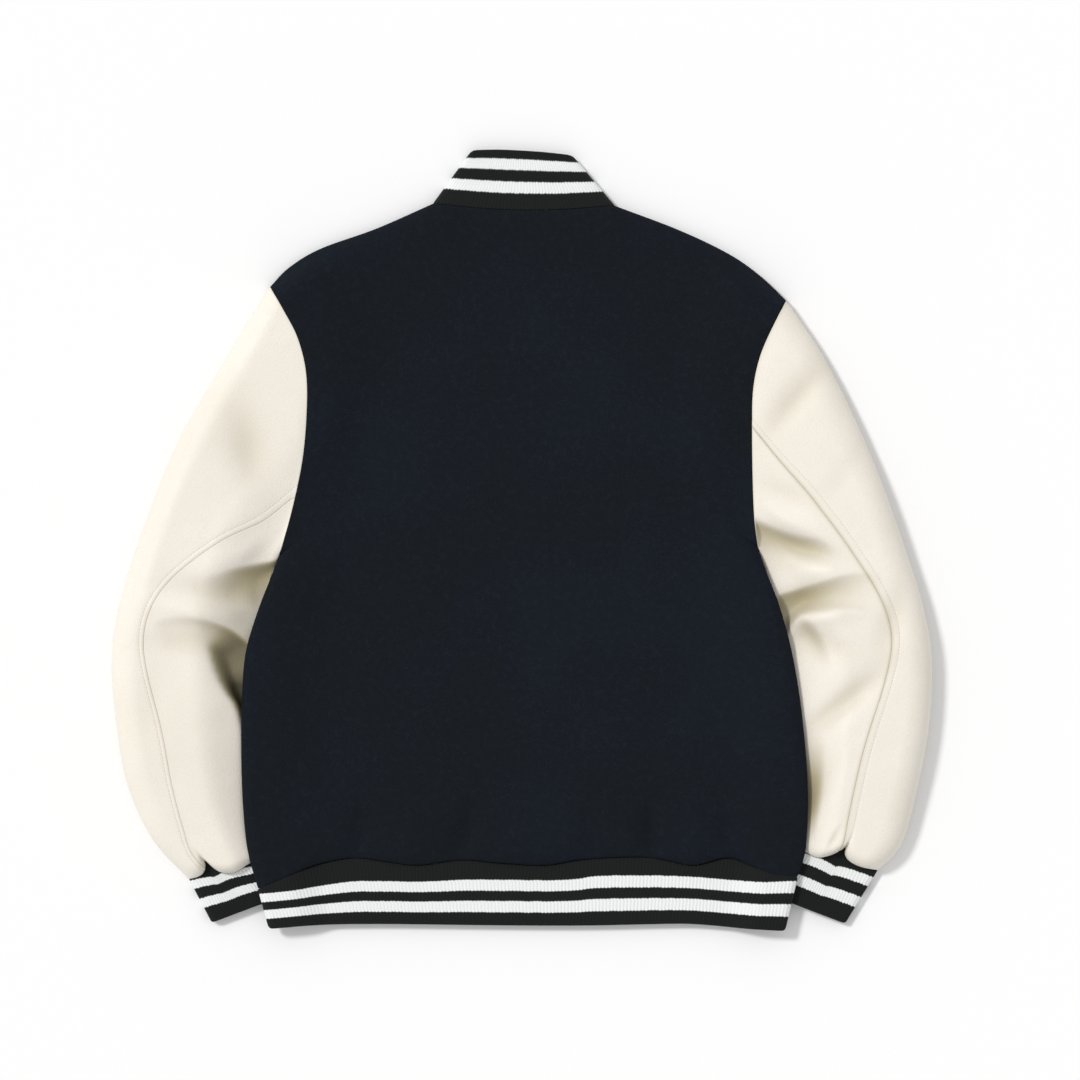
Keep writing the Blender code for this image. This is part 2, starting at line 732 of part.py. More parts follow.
def body_border(sleeve, side, lower):
    """One side of the body from the hem to the shoulder's tip: its line, and the sheet's heights inside it."""
    up = SIDE_ROWS / SIDE_ROWS[-1]
    below = at_shares(outline(side)[::-1], up)
    counts = LOWER_COUNTS if lower else UPPER_COUNTS[sleeve.side]
    across = sleeve.across(lower, counts, 0.0)
    arm = at_shares(sleeve.armhole, across)
    arm_z = sleeve.heights(0.0, across, arm, lower)[-2::-1]
    arm_level = np.zeros(len(arm_z)) if lower else np.maximum(arm_z, BODY_TOP)
    return SimpleNamespace(
        xy=np.vstack([below, arm[-2::-1]]),
        edge=np.concatenate([column(SIDE_SECTIONS, "fold", up), arm_z]),
        level=np.concatenate([column(SIDE_SECTIONS, "lift" if lower else "top", up), arm_level]),
        turn=np.concatenate([column(SIDE_SECTIONS, "turn", up), np.full(len(arm_z), ARMHOLE_TURN)]),
        armpit=len(up) - 1,
    )


def shoulder_samples():
    """Shares of a shoulder from its tip to the neck."""
    return shares(SHOULDER_COLUMNS) ** SHOULDER_CROWDING


def hem_heights(from_end, lower):
    """Heights of the hem's outer face, by distance from its end fold."""
    settled = eased((from_end - LIFTED) / LIFT_RUN)
    inside = mix(HEM_END_LIFT, 0.0, settled) if lower else mix(HEM_END_TOP, HEM_TOP, settled)
    return mix(SIDE_SECTIONS.fold[0], inside, turned(from_end, BAND_TURN))


def lapped_height(side, xy):
    """Height at which a front lies where the fronts overlap: the left on its snaps, the right on the left."""
    past = (xy[..., 0] - CENTRE_X) * side - OVERLAP
    if side < 0:
        above_hem = eased((xy[..., 1] - HEM_SEAM_FRONT.y.max()) / SNAP_CLEAR)
        return PLACKET_RISE * (1 - eased(past / LEFT_RAMP)) * above_hem
    return LAPPED * (1 - eased((past - LAP_MARGIN) / RIGHT_RAMP))


def back_face():
    """The back panel's outer face."""
    left, right = body_border(LEFT, SIDE_LEFT, False), body_border(RIGHT, SIDE_RIGHT, False)
    shoulder = shoulder_samples()
    top = np.vstack(
        [
            at_shares(outline(SHOULDER_LEFT), shoulder),
            at_shares(outline(NECK_BACK), shares(NECK_COLUMNS))[1:-1],
            at_shares(outline(SHOULDER_RIGHT), shoulder)[::-1],
        ]
    )
    n = SHOULDER_COLUMNS
    near = SIDE_ZONE * shares(n) ** SIDE_CROWDING
    across = np.concatenate([near, np.linspace(near[-1], 1 - near[-1], NECK_COLUMNS + 1)[1:-1], 1 - near[::-1]])
    bottom = at_shares(outline(HEM_SEAM_BACK), across)
    up = 0.5 * (lengths(left.xy) / lengths(left.xy)[-1] + lengths(right.xy) / lengths(right.xy)[-1])
    xy = filled_patch(bottom, top, left.xy, right.xy, across, up)
    z = BODY_TOP + BODY_CROWN * np.sin(math.pi * up)[None, :] + fold_height(xy[..., 0], xy[..., 1], HEM_GATHERS)
    for border, distance in ((left, from_edge(xy, 0)), (right, from_edge(xy, 0, True))):
        z = mix(border.level[None, :], z, eased((distance - LIFTED) / BACK_LIFT_RUN))
        z = mix(border.edge[None, :], z, turned(distance, border.turn[None, :]))
    run = lengths(top[n:-n])
    neck_z = mix(SHOULDER_FOLD, NECK_TOP, turned(np.minimum(run, run[-1] - run), SHOULDER_TURN))
    top_z = np.concatenate([np.full(n, SHOULDER_FOLD), neck_z, np.full(n, SHOULDER_FOLD)])
    z = mix(top_z[:, None], z, turned(from_edge(xy, 1, True), SHOULDER_TURN))
    run = lengths(bottom)
    hem_z = hem_heights(np.minimum(run, run[-1] - run), False)
    z = mix(hem_z[:, None], z, turned(from_edge(xy, 1), HEM_TURN))
    face = Face(np.dstack([xy, z]), 1)
    sew_sides(face, [(0, 1), (-1, -2)], left.armpit)
    neck = slice(n, len(xy) - n)
    for shoulder_part in (slice(0, n + 1), slice(len(xy) - n - 1, len(xy))):
        face.level((shoulder_part, -1), (shoulder_part, -2))
    face.upright((neck, -1))
    face.upright(np.s_[:, 0])
    sew_armholes(face, [(0, 1), (-1, -2)], left.armpit, lower=False)
    for part in (slice(0, n + 1), neck, slice(len(xy) - n - 1, len(xy))):
        face.seam((part, -1), (part, -2))
    face.seam(np.s_[:, 0], np.s_[:, 1])
    return face


def front_face(sleeve, side, shoulder):
    """One front panel's outer face, from its placket's edge to the side."""
    border = body_border(sleeve, side, True)
    placket_x = CENTRE_X - sleeve.side * OVERLAP
    neck = front_curve(NECK_FRONT, sleeve.side, outline(shoulder)[-1])
    seam = outline(HEM_SEAM_FRONT)
    corner_row = len(border.xy) - 1 - NECKLINE_ROWS
    corner = np.array([placket_x, np.interp(placket_x, seam[:, 0], seam[:, 1])])
    up = lengths(border.xy) / lengths(border.xy)[-1]
    straight = mix(corner, neck[0], (up[: corner_row + 1] / up[corner_row])[:, None])
    start = np.vstack([straight, at_shares(neck, shares(NECKLINE_ROWS))[1:]])
    top = at_shares(outline(shoulder), shoulder_samples())[::-1]
    steps = FRONT_COLUMNS / FRONT_COLUMNS[-1]
    bottom_x = mix(placket_x, border.xy[0, 0], steps)
    bottom = np.column_stack([bottom_x, np.interp(bottom_x, seam[:, 0], seam[:, 1])])
    bottom[-1] = border.xy[0]
    xy = filled_patch(bottom, top, start, border.xy, steps, up)
    from_side, from_top = from_edge(xy, 0, True), from_edge(xy, 1, True)
    z = lapped_height(sleeve.side, xy)
    z = mix(border.level[None, :], z, eased((from_side - LIFTED) / LIFT_RUN))
    z = mix(border.edge[None, :], z, turned(from_side, SIDE_TURN))
    z = mix(SHOULDER_FOLD, z, turned(from_top, LOWER_TURN))
    face = Face(np.dstack([xy, z]), -sleeve.side)
    sew_sides(face, [(-1, -2)], border.armpit)
    face.level(np.s_[:, -1], np.s_[:, -2])
    face.upright(np.s_[0, corner_row:], lower=True, folds=(False, True))
    face.upright(np.s_[:, 0], lower=True, folds=(False, True))
    sew_armholes(face, [(-1, -2)], border.armpit, lower=True)
    face.seam(np.s_[:, -1], np.s_[:, -2])
    face.seam(np.s_[0, corner_row:], np.s_[1, corner_row:])
    face.seam(np.s_[:, 0], np.s_[:, 1])
    return face


def sew_sides(face, sides, armpit):
    """The side folds, where back and fronts meet below the armholes."""
    for edge, beside in sides:
        below = slice(0, armpit + 1)
        face.level((edge, below), (beside, below))
        face.seam((edge, below), (beside, below))


def sew_armholes(face, sides, armpit, lower):
    """The armholes, where the body and the sleeves meet end to end."""
    for edge, beside in sides:
        above = slice(armpit, None)
        face.upright((edge, above), lower)
        face.seam((edge, above), (beside, above))


def front_curve(rows, side, end):
    """A line of the left or right front's neck, from the centre out and up to its end."""
    points = np.stack([CENTRE_X + side * rows.out, NECK_BASE_Y + rows.up], 1)
    return smooth_curve(np.vstack([points, [end]]))


# ---------------------------------------------------------------- rib bands


class Band:
    """A strip of rib knit between a seam and its free edge, gathered up from stretches along it."""

    def __init__(self):
        self.seam, self.free, self.relief, self.inside = [], [], [], []

    def add(self, seam, free, relief=None, inside=None):
        """A stretch: points on the seam and on the free edge, with heights, and the ribs' relief."""
        start = sum(len(part) for part in self.seam)
        self.seam.append(seam)
        self.free.append(free)
        self.relief.append(np.zeros(len(seam)) if relief is None else relief)
        self.inside += [start + k for k in (range(len(seam)) if inside is None else inside)]

    def make(self, name, side, material, closed=False, folds=()):
        """folds are the columns at which the band turns from its lower layer to its upper one, and back."""
        seam, free, relief = np.vstack(self.seam), np.vstack(self.free), np.concatenate(self.relief)
        face = Face(np.stack([mix(seam, free, share) for share in BAND_ROWS], 1), side, closed)
        first, second = folds
        face.level(np.s_[first], np.s_[first + 1])
        face.level(np.s_[second], np.s_[second - 1])
        upper = np.s_[first : second + 1]
        ends = (np.r_[second : len(seam), 0 : first + 1],) if closed else (np.s_[: first + 1], np.s_[second:])
        for row in (0, -1):
            for part, part_folds in zip(ends, ((True, True),) if closed else ((False, True), (True, False))):
                face.upright((part, row), lower=True, folds=part_folds, mitre=False)
            face.upright((upper, row), mitre=False)
        face.seam(np.s_[:, 0], np.s_[:, 1])
        wall(name, face, RIB_KNIT, material, self.inside, relief[:, None] * RIB_FADE)


def rib_samples(line):
    """Shares across a layer of rib from fold to fold, with the relief at each and the inner face's columns.

    line is the edge of the panel that the band is sewn to: each of its points gets a column of the band.
    """
    run = lengths(line)
    width = run[-1]
    ribs = int((width - 2 * RIB_START) / RIB_PITCH)
    start = 0.5 * (width - ribs * RIB_PITCH)
    near = FOLD_STEPS[FOLD_STEPS < start - RIB_PITCH / 4]
    across = np.concatenate([near, start + 0.5 * RIB_PITCH * np.arange(2 * ribs + 1), width - near[::-1]]) / width
    relief = np.zeros(len(across))
    first, count = len(near), 2 * ribs + 1
    relief[first : first + count] = 0.5 * RIB_RELIEF * (-1.0) ** np.arange(count)
    sewn = [int(np.argmin(np.abs(across - at / width))) for at in run]
    across[sewn] = run / width
    last = first + count - 1
    inside = {*range(first), *range(first, last, INSIDE_EVERY), *range(last, len(across)), *sewn}
    return across, relief, sorted(inside)


def raised(xy, z):
    """Plan points at these heights."""
    return np.column_stack([xy, np.broadcast_to(z, len(xy))])


def front_distances(reach):
    """Distances from an end fold along a front's layer: close at the fold, and where the lift runs out."""
    near = np.concatenate([FOLD_STEPS[1:], np.linspace(BAND_TURN, LIFTED + LIFT_RUN, 6)[1:]])
    near = near[near < 0.6 * reach]
    return np.concatenate([near, np.linspace(near[-1], reach, BAND_COLUMNS)[1:]])


def hem_band(back, fronts, material):
    """The hem rib, from the left front's placket round the back to the right front's."""
    edge = outline(HEM_EDGE)
    line = back.grid[:, 0, :2]
    width = lengths(line)[-1]
    band = Band()
    fold = []
    for side in (-1, 1):
        seam_line = fronts[side].grid[::-1, 0, :2]
        fold_x, free_fold = seam_line[0, 0], edge[0 if side < 0 else -1]
        distance = front_distances(lengths(seam_line)[-1])
        seam = at_shares(seam_line, distance / lengths(seam_line)[-1])
        slant = (free_fold[0] - fold_x) * (1 - eased(distance / HEM_SLANT_RUN))
        free_y = mix(free_fold[1], HEM_FRONT_EDGE_Y, eased(distance / HEM_SLANT_RUN))
        free = np.column_stack([seam[:, 0] + slant, free_y])
        settled = eased((distance - LIFTED) / LIFT_RUN)
        z = hem_heights(distance, True) + settled * (lapped_height(1, seam) if side > 0 else 0.0)
        order = slice(None, None, -1) if side < 0 else slice(None)
        if side > 0:
            across, relief, inside = rib_samples(line)
            back_z = hem_heights(np.minimum(across, 1 - across) * width, False)
            fold.append(sum(len(part) for part in band.seam))
            band.add(raised(at_shares(line, across), back_z), raised(at_shares(edge, across), back_z), relief, inside)
            fold.append(fold[0] + len(across) - 1)
        band.add(raised(seam, z)[order], raised(free, z)[order])
    band.make("hem", -1, material, folds=fold)


def collar_band(back, fronts, material):
    """The collar, from the centre of the left front round the back of the neck to that of the right one."""
    n = SHOULDER_COLUMNS
    line, edge = back.grid[n : len(back.grid) - n, -1, :2], outline(COLLAR_EDGE)
    width = lengths(line)[-1]
    band = Band()
    fold = []
    for side in (-1, 1):
        neck = fronts[side].grid[0, -1 - NECKLINE_ROWS :, :2][::-1]
        centred = (neck[:, 0] - CENTRE_X) * side
        run = lengths(neck)
        reach = np.interp(-COLLAR_GAP, -centred, run)
        distance = front_distances(reach)
        seam = at_shares(neck, distance / run[-1])
        rim = front_curve(COLLAR_FRONT, side, edge[0 if side < 0 else -1])[::-1]
        free = at_shares(rim, distance / reach)
        seam_z = mix(SHOULDER_FOLD, lapped_height(side, seam), turned(distance, LOWER_TURN))
        free_z = mix(COLLAR_FOLD, 0.0, turned(distance * COLLAR_SLANT, BAND_TURN))
        order = slice(None, None, -1) if side < 0 else slice(None)
        if side > 0:
            across, relief, inside = rib_samples(line)
            from_fold = np.minimum(across, 1 - across) * width
            back_z = mix(SHOULDER_FOLD, NECK_TOP, turned(from_fold, SHOULDER_TURN))
            back_free_z = mix(COLLAR_FOLD, COLLAR_EDGE_TOP, turned(from_fold, BAND_TURN))
            fold.append(sum(len(part) for part in band.seam))
            band.add(
                raised(at_shares(line, across), back_z), raised(at_shares(edge, across), back_free_z), relief, inside
            )
            fold.append(fold[0] + len(across) - 1)
        band.add(raised(seam, seam_z)[order], raised(free, free_z)[order])
    band.make("collar", 1, material, folds=fold)


def cuff_band(sleeve, face, name, material):
    """A cuff: a closed tube of rib, its upper layer from the outer fold to the tucked one, and its lower back."""
    top = sum(UPPER_COUNTS[sleeve.side]) + 1
    end = face.grid[:, -1, :2]
    upper_line, lower_line = end[:top], np.vstack([end[top - 1 :], end[:1]])[::-1]
    width = lengths(upper_line)[-1]
    across, relief, inside = rib_samples(upper_line)
    outer_edge, inner_edge = np.array(sleeve.cuff.outer_edge), np.array(sleeve.cuff.inner_edge)
    band = Band()

    def layer(line, samples, top_z):
        z = mix(CUFF_FOLD, top_z, turned(np.minimum(samples, 1 - samples) * width, BAND_TURN))
        return raised(at_shares(line, samples), z), raised(mix(outer_edge, inner_edge, samples[:, None]), z)

    band.add(*layer(upper_line, across, CUFF_TOP), relief, inside)
    below = lengths(lower_line)[-2:0:-1] / lengths(lower_line)[-1]
    band.add(*layer(lower_line, below, 0.0))
    band.make(name, sleeve.side, material, closed=True, folds=(0, len(across) - 1))


# ---------------------------------------------------------------- snaps


def snap(name, y, material):
    """A snap's cap under the left front: a flat disc with a rounded rim, its face on the surface."""
    turn = 2 * math.pi * np.arange(SNAP_SIDES) / SNAP_SIDES
    rings = [(z * SNAP_CAP, SNAP_R - inset) for z, inset in zip(SNAP_RINGS.up, SNAP_RINGS.inset)]
    vertices = np.array([(CENTRE_X + r * math.cos(a), y + r * math.sin(a), z) for z, r in rings for a in turn])
    ids = np.arange(len(vertices)).reshape(len(rings), SNAP_SIDES).T
    faces = grid_faces(ids, vertices[ids], True, False)
    faces.append(tuple(int(v) for v in ids[::-1, 0]))
    faces.append(tuple(int(v) for v in ids[:, -1]))
    return new_object(name, vertices, faces, material)


# ---------------------------------------------------------------- the jacket


def material(name, color, roughness, metallic=0.0):
    """A plain material of one colour."""
    m = bpy.data.materials.new(name)
    m.use_nodes = True
    shader = m.node_tree.nodes["Principled BSDF"]
    shader.inputs["Base Color"].default_value = (*color, 1.0)
    shader.inputs["Roughness"].default_value = roughness
    shader.inputs["Metallic"].default_value = metallic
    return m


def build():
    """All of the jacket's pieces."""
    wool = material("navy_wool", (0.010, 0.013, 0.018), 0.9)
    leather = material("cream_leather", (0.84, 0.80, 0.72), 0.5)
    rib = material("striped_rib", (0.02, 0.022, 0.021), 0.85)
    metal = material("snap_metal", (0.35, 0.35, 0.36), 0.35, 1.0)
    back = back_face()
    fronts = {
        -1: front_face(LEFT, SIDE_LEFT, SHOULDER_LEFT),
        1: front_face(RIGHT, SIDE_RIGHT, SHOULDER_RIGHT),
    }
    wall("back", back, WOOL, wool)
    wall("front_left", fronts[-1], WOOL, wool)
    wall("front_right", fronts[1], WOOL, wool)
    for sleeve, side in ((LEFT, "left"), (RIGHT, "right")):
        sleeve_panels(sleeve, f"sleeve_{side}", leather)
        cuff_band(sleeve, sleeve_face(sleeve), f"cuff_{side}", rib)
    hem_band(back, fronts, rib)
    collar_band(back, fronts, rib)
    for k, y in enumerate(np.linspace(SNAP_FIRST_Y, SNAP_LAST_Y, SNAPS)):
        snap(f"snap_{k + 1}", y, metal)


for old in list(bpy.data.objects):
    bpy.data.objects.remove(old)
build()
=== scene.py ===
"""The look of the varsity jacket: wool body, cream leather sleeves, striped rib, seams, stitching and folds.

Blender 4.5 script. It loads the packed model and stands a finer shell in for each of its pieces, on the same
outline and lay, with finer folds. The tables and helpers are in millimetres, and meshes are made in metres.
"""

import math
from types import SimpleNamespace

import bpy
import numpy as np
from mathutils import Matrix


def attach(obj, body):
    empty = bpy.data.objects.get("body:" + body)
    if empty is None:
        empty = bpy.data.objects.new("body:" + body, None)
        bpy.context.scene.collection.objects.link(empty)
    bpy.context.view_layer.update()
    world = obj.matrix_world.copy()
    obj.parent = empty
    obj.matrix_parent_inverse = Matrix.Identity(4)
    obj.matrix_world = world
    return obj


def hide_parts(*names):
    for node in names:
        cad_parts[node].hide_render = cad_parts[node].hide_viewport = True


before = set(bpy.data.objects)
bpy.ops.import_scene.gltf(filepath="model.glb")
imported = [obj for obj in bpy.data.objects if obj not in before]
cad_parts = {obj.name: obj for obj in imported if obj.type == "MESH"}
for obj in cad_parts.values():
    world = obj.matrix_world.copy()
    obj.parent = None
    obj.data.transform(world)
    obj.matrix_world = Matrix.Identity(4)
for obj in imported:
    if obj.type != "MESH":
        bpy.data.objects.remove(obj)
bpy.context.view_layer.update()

MM = 0.001
ROOT = "root"

# The photograph's frame
FRAME_WIDTH = 1036.8
FRAME_CENTRE_X = 17.3
CAMERA_HEIGHT = 6000.0
SENSOR = 36.0

# Cloth
WOOL = 2.2
LEATHER = 1.5
RIB_KNIT = 2.6
SEAM = 0.15  # each panel stops this short of the seam's line
SEAM_ROLL = 2.2  # a panel's edge rolls into its seam over this much,
SEAM_DEPTH = 0.6  # by this much
EDGE_ROLL = 1.6  # and a rib band rounds over its free edge
SHARP_DEGREES = 60.0
FAR = 500.0  # out of every seam's reach, and past the jacket on either side
TINY = 1e-9  # least length that a vector is divided by

# Rib knit
RIB_PITCH = 3.5
RIB_RELIEF = 0.55
RIB_SAMPLES = 8  # columns to a rib
RIB_ROUND = 0.7  # power of the rib's section
COURSE = 1.7  # height of a stitch
CORNER = 4.5  # a band's free edge rounds into its end folds
FOLD_STEPS = np.array([0.0, 0.3, 0.7, 1.2])  # distances from a fold at which a band has columns,
FOLD_CLEAR = 0.1  # where they lie further than this from the first rib
BAND_ROWS = np.array([0, 0.007, 0.017, 0.03, *np.linspace(0.05, 0.95, 19), 0.965, 0.978, 0.989, 0.996, 1])

# Heights above the surface
BODY_TOP = 18.0
BODY_CROWN = 2.0
NECK_TOP = 16.0
COLLAR_EDGE_TOP = 11.5
COLLAR_FOLD = 7.0
SHOULDER_FOLD = 8.0
HEM_TOP = 12.5
HEM_END_TOP = 22.5
HEM_END_LIFT = 12.4
CUFF_TOP = 11.0
CUFF_FOLD = 5.5
FLOOR_Z = -0.3
FLOOR_HALF = 4.0  # metres

# How far from an edge the cloth turns over
SIDE_TURN = 14.0
SHOULDER_TURN = 24.0
LOWER_TURN = 15.0
ARMHOLE_TURN = 60.0
HEM_TURN = 16.0
CUFF_TURN = 15.0
BAND_TURN = 8.0
SLEEVE_TURN = 26.0
TUCKED_TURN = 9.0
ARMPIT_TURN = 26.0
ARMPIT_EVENED = 38.0  # over this much of the side, the body's form is evened out
ARMPIT_REACH = 83.6  # as far as this from the armpit
LIFTED = 27.0  # the body lies level on the sleeve this far in from its side,
LIFT_RUN = 38.0  # and the lower sheet comes down to the surface over this much more,
BACK_LIFT_RUN = 68.0  # as the upper one comes down to its own height over this
UNDER_TURN = 0.6  # a sleeve's lower sheet turns over in this share of the upper one's distance

# Front opening and its snaps
CENTRE_X = 3.0
OVERLAP = 14.0  # each front passes the centre by this much
PLACKET_RISE = 1.5  # the left front lies on its snap caps
LAP_GAP = 0.6
LAPPED = PLACKET_RISE + WOOL + LAP_GAP  # and the right front on the left one
LEFT_RAMP = 8.0
RIGHT_RAMP = 24.0
LAP_MARGIN = 16.0
NECK_BASE_Y = 238.0
SNAPS = 6
SNAP_R = 7.5
SNAP_CAP = 1.2
SNAP_SIDES = 48
SNAP_CLEAR = 16.0
SNAP_FIRST_Y = -282.0
SNAP_LAST_Y = 215.0

# Rows and columns of each panel
SHOULDER_COLUMNS = 60
NECK_COLUMNS = 72
FRONT_COLUMNS = 80
SIDE_ROWS = 110
NECKLINE_ROWS = 40
SIDE_ZONE = 0.27  # share of the back's width that the shoulder's columns take
SIDE_CROWDING = 1.6  # of the columns towards the side, as a power,
SHOULDER_CROWDING = 1.5  # and of their ends towards the shoulder's tip

# Topstitching: thread, how long a stitch is and the gap to the next
THREAD = 0.42
STITCH = 2.6
STITCH_GAP = 0.7
STITCH_SIDES = 6
STITCH_SECTIONS = 6
STITCH_LATE = 0.15  # the first one starts this share of the pitch along the seam
STITCH_SWELL = 0.75  # its middle rises by this share of the thread's thickness
STITCH_SUNK = 0.45  # from ends that lie this share of it inside the cloth,
STITCH_TIP = 0.02  # and this is the square of their thickness, as a share of the middle's


CURVE_STEPS = 14  # points of a smooth curve to one that it is drawn through


def table(columns, *rows):
    """Rows of numbers under named columns, as arrays."""
    return SimpleNamespace(**dict(zip(columns.split(), np.array(rows, float).T)))


def smooth_curve(points, per_span=CURVE_STEPS):
    """Close points on a smooth curve through the given ones."""
    p = np.asarray(points, float)
    p = np.vstack([2 * p[0] - p[1], p, 2 * p[-1] - p[-2]])
    t = (np.arange(per_span) / per_span)[:, None]
    spans = [
        0.5 * (2 * b + (c - a) * t + (2 * a - 5 * b + 4 * c - d) * t**2 + (3 * b - a - 3 * c + d) * t**3)
        for a, b, c, d in zip(p, p[1:], p[2:], p[3:])
    ]
    return np.vstack([*spans, p[-2:-1]])


def line(*points):
    """The smooth curve through plan points."""
    return smooth_curve(points)


# Each side's lines: the body's from the armpit to the hem, its armhole from the shoulder's tip to the armpit,
# its shoulder from the tip to the neck, and the sleeve's outer edge and its elbow seam down to the cuff. end
# is how far the leather bulges past the line over the cuff, from fold to fold, with a notch at the seam, and
# topstitch how far from the seam the stitches lie. The tucked edge ends at inner_seam, the cuff's free edge
# runs from cuff_outer to cuff_inner, and the cuff's stripes start on the line stripe.
SIDES = {
    -1: SimpleNamespace(
        body=line(
            (-233.3, -15.4), (-242, -38), (-254.5, -71), (-265.5, -110), (-269, -160), (-269.3, -216),
            (-267.3, -262), (-263, -300), (-253.4, -335),
        ),
        armhole=line(
            (-242.5, 243.2), (-227, 218), (-214.5, 193), (-206.8, 161), (-206.2, 122), (-210.2, 77),
            (-219.8, 32), (-233.3, -15.4),
        ),
        shoulder=line((-242.5, 243.2), (-224, 262), (-194, 280), (-140, 299.5), (-85.4, 323.5)),
        outer=line(
            (-242.5, 243.2), (-271.1, 197), (-301.4, 146), (-328, 99.5), (-350.8, 46), (-375.2, -22),
            (-389.5, -74), (-393.9, -115), (-391.8, -158), (-380.5, -230), (-356, -286), (-320.6, -326.4),
        ),
        elbow=line(
            (-219.8, 40.3), (-250.6, 16.3), (-286, 0), (-327, -28.8), (-350.4, -55), (-362, -88),
            (-359.6, -122), (-345, -180.5), (-334, -239), (-320.6, -288), (-312, -312),
        ),
        end=table(
            "across past",
            (0, 0), (0.12, 0), (0.21, -2.5), (0.265, -8), (0.295, -14.5), (0.325, -7), (0.39, 1.5),
            (0.54, 6), (0.76, 1.5), (1, 0),
        ),
        topstitch=table("share apart", (0, 13), (0.12, 9), (0.3, 6), (0.5, 5), (1, 4)),
        inner_seam=(-243.8, -304.3), cuff_outer=(-298.6, -368.2), cuff_inner=(-229, -342),
        stripe=((-319.2, -327.4), (-262.4, -313.9)),
    ),
    1: SimpleNamespace(
        body=line(
            (226.6, -6.7), (235.2, -32), (246.7, -62), (258.7, -106), (267.8, -160), (273.6, -221),
            (274.4, -264), (271.8, -300), (264.6, -323.5),
        ),
        armhole=line(
            (254.4, 229.9), (240, 204), (228, 176), (221.6, 146), (220.4, 110), (221, 62), (222.8, 23),
            (226.6, -6.7),
        ),
        shoulder=line((254.4, 229.9), (229, 254), (199, 275), (151, 298), (88.8, 321.6)),
        outer=line(
            (254.4, 229.9), (288, 179), (317, 122.5), (346.2, 54), (371, -17), (386, -66), (393.9, -116),
            (391, -180), (378, -247), (364.5, -293), (342.4, -317.8),
        ),
        elbow=line(
            (220.8, 108.5), (246.2, 77), (275.4, 43), (315, -10), (344.6, -57.5), (354.8, -96),
            (346.6, -139), (331, -188), (321, -227), (312, -271), (306, -301),
        ),
        end=table(
            "across past",
            (0, 0), (0.2, 1.5), (0.36, -1), (0.445, -6.5), (0.48, -13), (0.515, -7.5), (0.6, 0.5),
            (0.73, 5), (1, 0),
        ),
        topstitch=table("share apart", (0, 7), (0.3, 7.5), (0.6, 7.5), (1, 6)),
        inner_seam=(262.1, -293.8), cuff_outer=(311, -369), cuff_inner=(240, -342),
        stripe=((339.5, -323.5), (273.3, -301.4)),
    ),
}
NECK_FRONT = table("out up", (-14, 0), (28, 4), (60, 22), (80, 50))  # as far as the neck point

# The back's neck line and its lower edge, where the wool blouses over the hem in shallow scallops, then the
# fronts' lower edge, and the free edges of the hem and the collar.
NECK_BACK = line((-85.4, 323.5), (-40, 318.8), (3, 317), (46, 318), (88.8, 321.6))
HEM_SEAM_BACK = line(
    (-253.4, -335), (-224, -322.5), (-192, -311), (-160, -306), (-131, -309.5), (-100, -313), (-58, -308),
    (-21, -311), (22, -313), (59, -307.5), (113, -305), (140, -308.5), (165, -313), (197, -306),
    (217, -312), (241, -320.5), (264.6, -323.5),
)
HEM_SEAM_FRONT = line((-253.4, -335), (-215, -317), (-140, -312), (140, -312), (225, -317), (264.6, -323.5))
HEM_EDGE = line(
    (-242.9, -373.4), (-227, -372), (-199, -370), (-136, -369.1), (-20, -370.4), (60, -370.6),
    (120, -369.4), (161, -369), (211, -372.9), (252.5, -375.4),
)
COLLAR_EDGE = line((-48, 374.9), (-21, 375.4), (17, 373.4), (48, 370.1))
PLACKET_FOOT = -312.0  # the left front starts to rise onto its snap caps here
HEM_FRONT_EDGE_Y = -369.5
HEM_SLANT_RUN = 60.0  # the front's hem edge runs level beyond this far from the side
COLLAR_SLANT = 0.62  # the collar's free edge leaves its fold on the front at a slant
COLLAR_GAP = 1.0  # between the collar's ends and the centre line
COLLAR_FRONT = table("out up", (1, 43), (22, 63), (38, 98))  # as far as the collar's fold

# The body's side from the hem up to the armpit: the fold's height, the upper and lower sheets' heights just
# inside it, where the body lies on the tucked edge of the sleeve, and how far in the upper sheet turns over.
SIDE_SECTIONS = table(
    "share fold top lift turn",
    (0, 17.4, 22.5, 12.4, 14), (0.12, 18.5, 25.5, 14, 14), (0.45, 21, 27.5, 15.5, 14),
    (0.8, 21, 27, 15.5, 14), (0.93, 18, 25, 12, 18), (1, 12, 22, 0, 34),
)

# The sleeve's sections, by share of its outer edge: share of the tucked edge, which they fan out from at the
# armpit, height of the upper sheet at its crown, how far across the crown ends, height where the body lies
# on it, and heights of the outer and the tucked fold.
SLEEVE_SECTIONS = table(
    "share inner crown crown_end tucked outer_fold inner_fold",
    (0, 0, 27, 0.5, 22, 8, 12), (0.12, 0.02, 31, 0.5, 19, 10, 10.5), (0.28, 0.06, 35, 0.5, 15.5, 12, 8),
    (0.42, 0.2, 37, 0.51, 13.5, 13, 6.5), (0.6, 0.45, 38, 0.54, 13.5, 13, 6.5),
    (0.8, 0.74, 36, 0.57, 13, 12, 6.5), (0.93, 0.92, 31, 0.58, 11.5, 10, 6), (1, 1, 26, 0.58, 11, 5.5, 5.5),
)
FALL_END = 0.98  # the upper sheet has come down to the tucked height this far across
FOLDS_OUT = (0.72, 0.88)  # and its folds have run out between these

# Shares of a sleeve's length over which its form changes.
ARMHOLE_RUN = 0.40  # from the armhole's curve to a straight ring
FOLDS_IN = 0.15  # from the armhole to the folds' full height
TURN_RUN = (0.2, 0.3)  # from the shoulder's and armpit's turns to the sleeve's own
END_RUN = 0.1  # from a straight ring to the sleeve end's bulges

# How far the tucked edge lies inside the body's side, by the distance below the armpit.
TUCK = table("down tuck", (0, 0), (25, 0.5), (60, 9), (100, 15), (200, 17), (330, 19))

